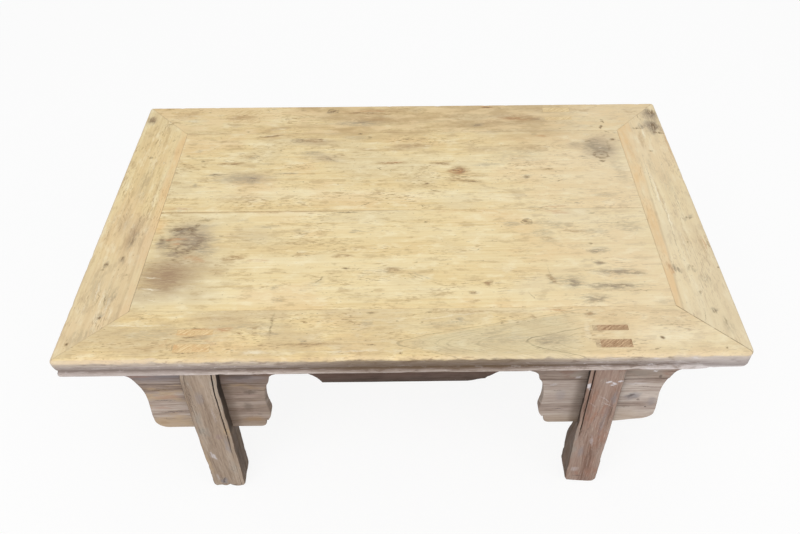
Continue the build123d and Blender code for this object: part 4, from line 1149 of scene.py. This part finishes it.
def edge_profile():
    """Section of a rail as inset from its outer edge against height."""
    shoulder = TOP - ARRIS_RADIUS
    arris = arc((ARRIS_RADIUS, shoulder), ARRIS_RADIUS, 90, 180, 8)
    band_drop = shoulder - BAND_FOOT
    band = [
        (BAND_SETBACK * (i / 6) ** 2, shoulder - band_drop * i / 6)
        for i in range(1, 7)
    ]
    cove_half = (BAND_FOOT - BEAD_TOP) / 2
    cove = [
        (QUIRK_DEPTH + COVE_DEPTH * math.sin(math.pi * i / 6), BAND_FOOT - 2 * cove_half * i / 6)
        for i in range(7)
    ]
    bead_drop = BEAD_TOP - RAIL_BOTTOM
    bead = [
        (
            QUIRK_DEPTH + (EDGE_UNDERCUT - QUIRK_DEPTH) * i / 8
            - BEAD_PROJECTION * math.sin(math.pi * (i / 8) ** BEAD_DROOP),
            BEAD_TOP - bead_drop * i / 8,
        )
        for i in range(1, 9)
    ]
    edge = arris + band + cove + bead
    top_run = divide([(RAIL_WIDTH, TOP), (ARRIS_RADIUS, TOP)], 6 * MM, closed=False)[:-1]
    under_run = divide([edge[-1], (RAIL_WIDTH, RAIL_BOTTOM)], 12 * MM, closed=False)[1:]
    inner_run = [(RAIL_WIDTH, RAIL_BOTTOM + (TOP - RAIL_BOTTOM) / 2)]
    return top_run + edge + under_run + inner_run


def round_corners(bm):
    """Turn the square meeting of two mouldings into a rounded corner, wider at the knocked one."""
    for v in bm.verts:
        knocked = v.co.x > 0 > v.co.y
        radius = KNOCKED_RADIUS if knocked else CORNER_RADIUS
        corner_x = HALF_LENGTH - radius
        corner_y = HALF_WIDTH - radius
        out = Vector((abs(v.co.x) - corner_x, abs(v.co.y) - corner_y))
        if out.x > 0 and out.y > 0:
            reach = max(out)
            out.normalize()
            v.co.x = math.copysign(corner_x + out.x * reach, v.co.x)
            v.co.y = math.copysign(corner_y + out.y * reach, v.co.y)


def knock_end(bm, end, half_run, half_across):
    """Wear the moulding near one end into a plain round, as at the table's knocked corner."""
    round_top = RAIL_BOTTOM + 11 * MM
    for v in bm.verts:
        inset = v.co.y + half_across
        if inset > 9 * MM or v.co.z > TOP - ARRIS_RADIUS:
            continue
        drop = max(0, round_top - v.co.z)
        plain = 0.6 * MM + KNOCKED_ROUND - math.sqrt(KNOCKED_ROUND**2 - drop**2)
        uneven = 0.5 + 0.5 * rough(v.co, 60, 4)
        share = smooth_step(end * v.co.x, half_run - (70 + 25 * uneven) * MM, half_run - (14 + 20 * uneven) * MM)
        v.co.y += (plain - inset) * share


def through_hole(bm, x_low, x_high, y_low, y_high, taper):
    """Rectangular hole through a rail, its inner end wider at the top by the wedge's taper."""
    for up in (1, -1):
        inner = taper if up < 0 else 0
        low_x = x_low + (inner if x_low > 0 else 0)
        high_x = x_high - (inner if x_low < 0 else 0)
        for axis, bound in ((0, low_x), (0, high_x), (1, y_low), (1, y_high)):
            skin = [
                f for f in bm.faces
                if f.normal.z * up > 0.9
                and low_x - 15 * MM < f.calc_center_median().x < high_x + 15 * MM
                and y_low - 12 * MM < f.calc_center_median().y < y_high + 12 * MM
            ]
            point, normal = [0, 0, 0], [0, 0, 0]
            point[axis], normal[axis] = bound, 1
            cut(bm, point, normal, skin)
            bm.normal_update()
        gone = [
            f for f in bm.faces
            if f.normal.z * up > 0.9
            and low_x < f.calc_center_median().x < high_x
            and y_low < f.calc_center_median().y < y_high
        ]
        bmesh.ops.delete(bm, geom=gone, context="FACES")
    rim = [e for e in bm.edges if e.is_boundary]
    bmesh.ops.bridge_loops(bm, edges=rim)


def rail(name, half_run, half_across, turn, material, seed, holes=(), knocked=0, dents=()):
    """One member of the top's frame, made as the front one and turned into place."""
    bm = bmesh.new()
    step = 2.5 * MM
    face = face_from(bm, edge_profile(), lambda inset, z: (-half_run, inset - half_across, z))
    pull(bm, face, (2 * half_run, 0, 0))
    long_edges = [e for e in bm.edges if abs(e.verts[0].co.x - e.verts[1].co.x) > half_run]
    bmesh.ops.subdivide_edges(bm, edges=long_edges, cuts=round(2 * half_run / step), use_grid_fill=True)
    bm.normal_update()
    for hole in holes:
        through_hole(bm, *hole)
    if knocked:
        knock_end(bm, knocked, half_run, half_across)
    reach, face_y = half_run - 20 * MM, -half_across
    arris = (-reach, face_y - MM, TOP - 7 * MM), (reach, face_y + 4 * MM, TOP + MM)
    bead = (-reach, face_y, RAIL_BOTTOM), (reach, face_y + 6 * MM, BEAD_TOP)
    battered = 1.0 if dents else 0.6
    scatter_nicks(bm, 34, seed, 5, battered, *arris, (0, 0.8, -0.6))
    scatter_nicks(bm, 22, seed + 50, 6, battered, *bead, (0, 0.9, 0.4))
    for dent in dents:
        press(bm, *dent)
    for end in (-1, 1):
        point = (end * (half_run - MITRE_GAP), -half_across, 0)
        cut(bm, point, (end, 1, 0), clear=True)
    bmesh.ops.rotate(bm, verts=bm.verts, cent=(0, 0, 0), matrix=Matrix.Rotation(turn, 3, "Z"))
    round_corners(bm)
    grain = 1 if half_run < half_across else 0
    wear(bm, 0.35 * MM, grain, seed=seed)
    return finish_piece(name + "_wood", bm, [material], "top_frame", name)


def mortises():
    """Plan of the holes for the leg's tenons in the front rail."""
    rows = [
        (-(APRON_FACE + 13 * MM), -APRON_FACE),
        (-APRON_BACK, -(APRON_BACK - 9 * MM)),
    ]
    holes = []
    for y_low, y_high in rows:
        holes.append((WEDGE_LOW.x, TENON_OUTER_X, y_low, y_high, 3 * MM))
        holes.append((-TENON_OUTER_X, -WEDGE_LOW.x, y_low, y_high, 3 * MM))
    return holes


FRONT_DENTS = [
    ((-320, -279, 337), (9, 6, 8), (0, 2.0, -1.6)),
    ((-237, -279, 337), (7, 6, 7), (0, 1.6, -1.2)),
    ((-60, -279, 338), (22, 5, 6), (0, 0.8, -0.8)),
    ((186, -279, 337), (8, 6, 7), (0, 1.6, -1.4)),
    ((372, -279, 336), (10, 6, 8), (0, 1.8, -1.4)),
    ((300, -278, 309), (26, 5, 5), (0, 1.4, 0.8)),
    ((40, -278, 309), (40, 5, 5), (0, 1.0, 0.4)),
]
rail("front_long_rail", HALF_LENGTH, HALF_WIDTH, 0, FRONT_RAIL_ELM, 1, mortises(), knocked=1, dents=FRONT_DENTS)
rail("back_long_rail", HALF_LENGTH, HALF_WIDTH, math.pi, BACK_RAIL_ELM, 2, mortises())
rail("right_end_rail", HALF_WIDTH, HALF_LENGTH, math.pi / 2, RIGHT_RAIL_ELM, 3, knocked=-1)
rail("left_end_rail", HALF_WIDTH, HALF_LENGTH, -math.pi / 2, LEFT_RAIL_ELM, 4)


# ---- Panel ------------------------------------------------------------------------------------------------


def board(name, low, high, grain, material, seed, slot, node, round_over=0.25 * MM, step=6 * MM, worn=0.3 * MM):
    """A plain member between two corners, edges rounded over, surface worn along the grain."""
    low, high = Vector(low), Vector(high)
    bm = bmesh.new()
    bmesh.ops.create_cube(bm, size=1)
    bmesh.ops.scale(bm, verts=bm.verts, vec=high - low)
    bmesh.ops.translate(bm, verts=bm.verts, vec=(low + high) / 2)
    chamfered(bm, bm.edges[:], round_over)
    for axis in range(3):
        slice_along(bm, axis, low[axis], high[axis], step)
    wear(bm, worn, grain, seed=seed)
    return finish_piece(name + "_wood", bm, [material], slot, node)


for side, low_y, high_y in (("front", -OPENING_Y + PANEL_GAP, -0.1 * MM), ("back", 0.1 * MM, OPENING_Y - PANEL_GAP)):
    name = side + "_panel_board"
    low = (-OPENING_X + PANEL_GAP, low_y, BOARD_BOTTOM)
    high = (OPENING_X - PANEL_GAP, high_y, TOP)
    elm = FRONT_BOARD_ELM if low_y < 0 else BACK_BOARD_ELM
    board(name, low, high, 0, elm, 5 if low_y < 0 else 6, "top_panel", name)


# ---- Aprons -------------------------------------------------------------------------------------------------


def apron_outline():
    """Front view of the right half of a long apron, from the middle's foot round to the middle's top."""
    arch_outer = SPANDREL_INNER_X
    arch_inner = arch_outer - ARCH_SPAN
    radius = ((ARCH_SPAN / 2) ** 2 + ARCH_RISE**2) / (2 * ARCH_RISE)
    half_angle = math.degrees(math.asin(ARCH_SPAN / 2 / radius))
    centre = ((arch_inner + arch_outer) / 2, JOINT_LINE + ARCH_RISE - radius)
    arch = arc(centre, radius, 90 + half_angle, 90 - half_angle, 14)
    sweep_end = SPANDREL_OUTER_X + 34 * MM
    rise = APRON_END_BOTTOM - JOINT_LINE
    sweep = smooth_curve(
        [
            (SPANDREL_OUTER_X, JOINT_LINE),
            (SPANDREL_OUTER_X + 9.5 * MM, JOINT_LINE + 0.72 * rise),
            (sweep_end, APRON_END_BOTTOM),
        ],
        6,
    )
    tail = [
        (APRON_END_X, APRON_END_BOTTOM),
        (APRON_END_X, RAIL_BOTTOM),
    ]
    return arch + sweep + tail


def flat_board(bm, outline, front, back, round_over, step):
    """A board sawn to an outline, its long edges rounded over and its faces divided."""
    face = face_from(bm, outline, lambda x, z: (x, front, z))
    pull(bm, face, (0, back - front, 0))
    bm.normal_update()
    rims = [
        e for e in bm.edges
        if abs(e.verts[0].co.y - e.verts[1].co.y) < 1e-7 and e.calc_face_angle(0) > CREASE
    ]
    chamfered(bm, rims, round_over, 2)
    xs = [v.co.x for v in bm.verts]
    zs = [v.co.z for v in bm.verts]
    slice_along(bm, 0, min(xs), max(xs), step)
    slice_along(bm, 2, min(zs), max(zs), step)


def long_apron(side, sign, seed):
    half = apron_outline()
    whole = half + [(-x, z) for x, z in reversed(half)]
    bm = bmesh.new()
    flat_board(bm, divide(whole, 5 * MM), sign * APRON_FACE, sign * APRON_BACK, 0.8 * MM, 6 * MM)
    for end in (-1, 1):
        cut(bm, (end * (APRON_END_X - 0.1 * MM), sign * APRON_FACE, 0), (end, -sign, 0), clear=True)
    for press_down in APRON_WEAR[side]:
        press(bm, *press_down)
    wear(bm, 0.5 * MM, 0, seed=seed)
    wood = FRONT_APRON_WOOD if sign < 0 else BACK_APRON_WOOD
    return finish_piece(side + "_apron_wood", bm, [wood], "apron", side + "_apron")


# The front apron's arches stand steeper beside the spandrels, and one inner corner is rubbed round.
APRON_WEAR = {
    "front": [
        ((-179, -246, 268), (17, 60, 17), (-4.5, 0, 2)),
        ((179, -246, 268), (17, 60, 17), (4, 0, 1)),
        ((112, -246, 252), (26, 60, 15), (-1, 0, 5.5)),
    ],
    "back": [((-112, 246, 252), (20, 60, 12), (0, 0, 3))],
}


long_apron("front", -1, 7)
long_apron("back", 1, 8)

for end, sign in (("left", -1), ("right", 1)):
    bm = bmesh.new()
    outline = [
        (-APRON_FACE, APRON_END_BOTTOM), (APRON_FACE, APRON_END_BOTTOM), (APRON_FACE, RAIL_BOTTOM), (-APRON_FACE, RAIL_BOTTOM),
    ]
    flat_board(bm, outline, -APRON_END_X, -APRON_END_X + APRON_THICKNESS, 0.8 * MM, 6 * MM)
    for tip in (-1, 1):
        cut(bm, (tip * (APRON_FACE - 0.1 * MM), -APRON_END_X, 0), (tip, 1, 0), clear=True)
    bmesh.ops.rotate(bm, verts=bm.verts, cent=(0, 0, 0), matrix=Matrix.Rotation(sign * math.pi / 2, 3, "Z"))
    wear(bm, 0.4 * MM, 1, seed=9)
    finish_piece(end + "_end_apron_wood", bm, [END_APRON_WOOD], "apron", end + "_end_apron")


# ---- Spandrels ------------------------------------------------------------------------------------------------


def spandrel_outline():
    """Front view of a right-hand spandrel, measured along the table and up."""
    top, foot = JOINT_LINE - 0.2 * MM, SPANDREL_BOTTOM
    outer = SPANDREL_OUTER_X
    inner = SPANDREL_INNER_X
    outside = smooth_curve(
        [(outer, top), (outer - 3.6 * MM, top - 14 * MM), (outer - 5 * MM, top - 33 * MM),
         (outer - 3.4 * MM, top - 56 * MM), (outer - 2 * MM, top - 74 * MM)],
        4,
    )
    toe = arc((outer - 20 * MM, foot + 18 * MM), 18 * MM, 0, -90, 8)
    heel = arc((inner + 24 * MM, foot + 9 * MM), 9 * MM, -90, -180, 5)
    step = [(inner + 15 * MM, foot + 16 * MM), (inner + 11 * MM, foot + 16 * MM)]
    inside = smooth_curve(
        [(inner + 8 * MM, foot + 22 * MM), (inner + 5.5 * MM, top - 74 * MM), (inner + 8 * MM, top - 52 * MM),
         (inner + 8 * MM, top - 33 * MM), (inner + 5 * MM, top - 12 * MM), (inner, top)],
        4,
    )
    return outside + toe + heel + step + inside


def spandrel(corner, across, sign, seed):
    bm = bmesh.new()
    outline = [(across * x, z) for x, z in divide(spandrel_outline(), 5 * MM)]
    flat_board(bm, outline, sign * APRON_FACE, sign * APRON_BACK, 1.2 * MM, 6 * MM)
    if corner == "front_right":
        press(bm, (356, -246, 142), (62, 60, 34), (-1, 0, 7))
    wear(bm, 0.6 * MM, 0, seed=seed)
    return finish_piece(corner + "_spandrel_wood", bm, [SPANDREL_WOODS[corner]], "spandrel", corner + "_spandrel")


CORNERS = {
    "front_left": (-1, -1),
    "front_right": (1, -1),
    "back_left": (-1, 1),
    "back_right": (1, 1),
}

for seed, (corner, (across, sign)) in enumerate(CORNERS.items()):
    spandrel(corner, across, sign, 10 + seed)


# ---- Legs -------------------------------------------------------------------------------------------------------


def leg_section():
    """Plan of a leg: x across, y from its outer face inwards, with a quirked bead on both outer arrises."""
    half = LEG_WIDTH / 2
    quirk = half - LEG_BEAD
    outline = [(-quirk + LEG_QUIRK / 2, 0), (quirk - LEG_QUIRK / 2, 0), (quirk, LEG_QUIRK), (quirk + LEG_QUIRK / 2, 0)]
    outline += arc((half - LEG_ARRIS, LEG_ARRIS), LEG_ARRIS, -90, 0, 4)
    outline += arc((half - LEG_ARRIS, LEG_DEPTH - LEG_ARRIS), LEG_ARRIS, 0, 90, 4)
    outline += arc((LEG_ARRIS - half, LEG_DEPTH - LEG_ARRIS), LEG_ARRIS, 90, 180, 4)
    outline += arc((LEG_ARRIS - half, LEG_ARRIS), LEG_ARRIS, 180, 270, 4)
    outline += [(-quirk - LEG_QUIRK / 2, 0), (-quirk, LEG_QUIRK)]
    return divide(outline, 5 * MM)


# How each leg has worn: what is left of its inner and outer bead's quirk, high and low on the leg, the round of
# its inner back arris, how far it leans out further down, and how far its inner foot is rubbed up.
LEG_WEAR = {
    "front_left": dict(inner=(1.0, 0.6), outer=(0.5, 0.2), wane=4, bow=3, foot=0),
    "front_right": dict(inner=(0.9, 0.12), outer=(0.45, 0.1), wane=15, bow=0, foot=5),
    "back_left": dict(inner=(1, 0.7), outer=(0.8, 0.4), wane=6, bow=0, foot=1),
    "back_right": dict(inner=(0.9, 0.6), outer=(1, 0.5), wane=4, bow=0, foot=1),
}


def worn_leg(bm, corner, across, sign, foot, lean, seed):
    """Rub a leg's beads, arrises and foot down."""
    worn = LEG_WEAR[corner]
    half = LEG_WIDTH / 2
    for v in bm.verts:
        z = v.co.z
        if z > RAIL_BOTTOM - MM:
            continue
        axis = foot + lean * z
        inwards = -across * (v.co.x - axis.x)
        depth = -sign * (v.co.y - axis.y)
        if abs(abs(inwards) - (half - LEG_BEAD)) < LEG_QUIRK / 3 and depth < 2 * LEG_QUIRK:
            high, low = worn["inner" if inwards > 0 else "outer"]
            depth *= low + (high - low) * smooth_step(z + 12 * MM * rough(v.co, 20, seed), 95 * MM, 165 * MM)
        wane = smooth_step(z, 70 * MM, 138 * MM) * smooth_step(z, 215 * MM, 150 * MM)
        radius = LEG_ARRIS + (worn["wane"] * MM - LEG_ARRIS) * wane
        over = Vector((inwards - (half - radius), depth - (LEG_DEPTH - radius)))
        if over.x > 0 and over.y > 0 and over.length > radius:
            over = over.normalized() * radius
            inwards, depth = half - radius + over.x, LEG_DEPTH - radius + over.y
        if inwards > half - 8 * MM and worn["wane"] > 10:
            slope = smooth_step(depth, 2 * MM, 14 * MM) * smooth_step(z, 85 * MM, 145 * MM)
            inwards -= 4.5 * MM * slope * smooth_step(z, RAIL_BOTTOM + 60 * MM, 230 * MM)
        toe = 1 - smooth_step(z, 0, 11 * MM)
        edge = smooth_step(abs(inwards), half - 12 * MM, half)
        inwards -= math.copysign(2.6 * MM * toe * toe, inwards) * edge
        if depth < 8 * MM:
            depth += 1.2 * MM * toe * toe
        chewed = max(0, rough(v.co * Vector((1, 1, 0.5)), 70, seed + 3)) * edge
        inwards -= math.copysign(1.5 * MM * chewed, inwards)
        v.co.x = axis.x - across * inwards + across * worn["bow"] * MM * smooth_step(z, RAIL_BOTTOM, 250 * MM)
        v.co.y = axis.y - sign * depth
        rubbed = smooth_step(inwards, -half, half) * (1 - smooth_step(z, 0, 40 * MM))
        v.co.z += worn["foot"] * MM * rubbed + 3 * MM * toe * edge * (0.5 + 0.5 * rough(v.co, 90, seed))


def leg(corner, across, sign, seed, material):
    """A leg with a forked head and two tenons that reach the table's top."""
    face_y = APRON_FACE + 14.5 * MM
    foot = Vector((across * (LEG_X + LEG_SPLAY_X), sign * (face_y + LEG_SPLAY_Y), 0))
    lean = Vector((-across * LEG_SPLAY_X, -sign * LEG_SPLAY_Y, RAIL_BOTTOM)) / RAIL_BOTTOM
    crotch = SPANDREL_BOTTOM
    bm = bmesh.new()
    base = face_from(bm, leg_section(), lambda x, y: foot + Vector((x, -sign * y, 0)))
    head = pull(bm, base, lean * crotch)
    for y in (APRON_FACE, APRON_BACK):
        cut(bm, (0, sign * y, 0), (0, 1, 0), [f for f in bm.faces if f.calc_center_median().z > crotch - MM])
    prongs = [
        f for f in bm.faces
        if f.calc_center_median().z > crotch - MM
        and not APRON_BACK < sign * f.calc_center_median().y < APRON_FACE
    ]
    for prong in prongs:
        outer = sign * prong.calc_center_median().y > APRON_FACE
        wall = sign * (APRON_FACE if outer else APRON_BACK)
        ends = pull(bm, prong, lean * (RAIL_BOTTOM - crotch))
        for v in ends[0].verts:
            if abs(v.co.y - wall - lean.y * (RAIL_BOTTOM - crotch)) < 0.1 * MM:
                v.co.y = wall
        tenon = pull(bm, ends[0], (0, 0, 0))
        inner_x = WEDGE_HIGH.x
        rows = (APRON_FACE, APRON_FACE + 13 * MM) if outer else (APRON_BACK - 9 * MM, APRON_BACK)
        for v in tenon[0].verts:
            v.co.x = across * min(max(across * v.co.x, inner_x), TENON_OUTER_X)
            v.co.y = sign * min(max(sign * v.co.y, rows[0]), rows[1])
        cap = pull(bm, tenon[0], (0, 0, TOP - RAIL_BOTTOM - 0.15 * MM))
        cap[0].material_index = 1
    for high_z, low_z in ((crotch, 0), (RAIL_BOTTOM, crotch)):
        long_edges = [
            e for e in bm.edges
            if min(v.co.z for v in e.verts) < low_z + MM and max(v.co.z for v in e.verts) > high_z - MM
            and max(v.co.z for v in e.verts) < high_z + MM
        ]
        bmesh.ops.subdivide_edges(bm, edges=long_edges, cuts=round((high_z - low_z) / (4 * MM)), use_grid_fill=True)
    rub = [v for v in bm.verts if v.co.z < RAIL_BOTTOM - MM]
    bm.normal_update()
    shifts = [v.normal * -(0.6 * MM) * (0.5 + 0.5 * rough(v.co * Vector((1, 1, 0.2)), 40, seed)) for v in rub]
    for v, shift in zip(rub, shifts):
        v.co += shift
    worn_leg(bm, corner, across, sign, foot, lean, seed)
    if corner == "front_left":
        press(bm, (-278, -272, 0), (7, 22, 9), (0, 1, 4.5))
        press(bm, (-292, -272, 0), (9, 22, 8), (1, 1, 2.5))
    finish_piece(corner + "_leg_wood", bm, [material, TENON_TOPS[corner]], "leg", corner + "_leg")


def wedges(corner, across, sign):
    """The two filler wedges at the inner ends of a leg's tenons."""
    bm = bmesh.new()
    for low_y, high_y in ((APRON_FACE, APRON_FACE + 13 * MM), (APRON_BACK - 9 * MM, APRON_BACK)):
        made = bmesh.ops.create_cube(bm, size=1)["verts"]
        bmesh.ops.scale(bm, verts=made, vec=(WEDGE_HIGH.x - WEDGE_LOW.x, high_y - low_y, TOP - RAIL_BOTTOM))
        centre = ((WEDGE_HIGH.x + WEDGE_LOW.x) / 2 * across, sign * (low_y + high_y) / 2, (TOP + RAIL_BOTTOM) / 2)
        bmesh.ops.translate(bm, verts=made, vec=centre)
        for v in made:
            if v.co.z < TOP - MM and abs(v.co.x) < WEDGE_HIGH.x - MM:
                v.co.x += across * 3 * MM
            v.co.z -= 0.1 * MM * (v.co.z > TOP - MM)
    finish_piece(corner + "_wedges_wood", bm, [WEDGE_TOPS[corner]], "wedge", corner + "_tenon_wedges")


for seed, (corner, (across, sign)) in enumerate(CORNERS.items()):
    leg(corner, across, sign, 20 + seed, LEG_WOODS[corner])
    wedges(corner, across, sign)


# ---- Side stretchers and battens -----------------------------------------------------------------------------------

for end in ("left", "right"):
    for level in ("upper", "lower"):
        name = f"{end}_{level}_stretcher"
        low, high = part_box(name)
        board(name, low, high, 1, RUNG_WOOD, 30, "stretcher", name, round_over=1.5 * MM, step=8 * MM)

for place in ("left", "middle", "right"):
    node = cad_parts[place + "_batten"]
    node.data.materials.clear()
    node.data.materials.append(BATTEN_WOOD)
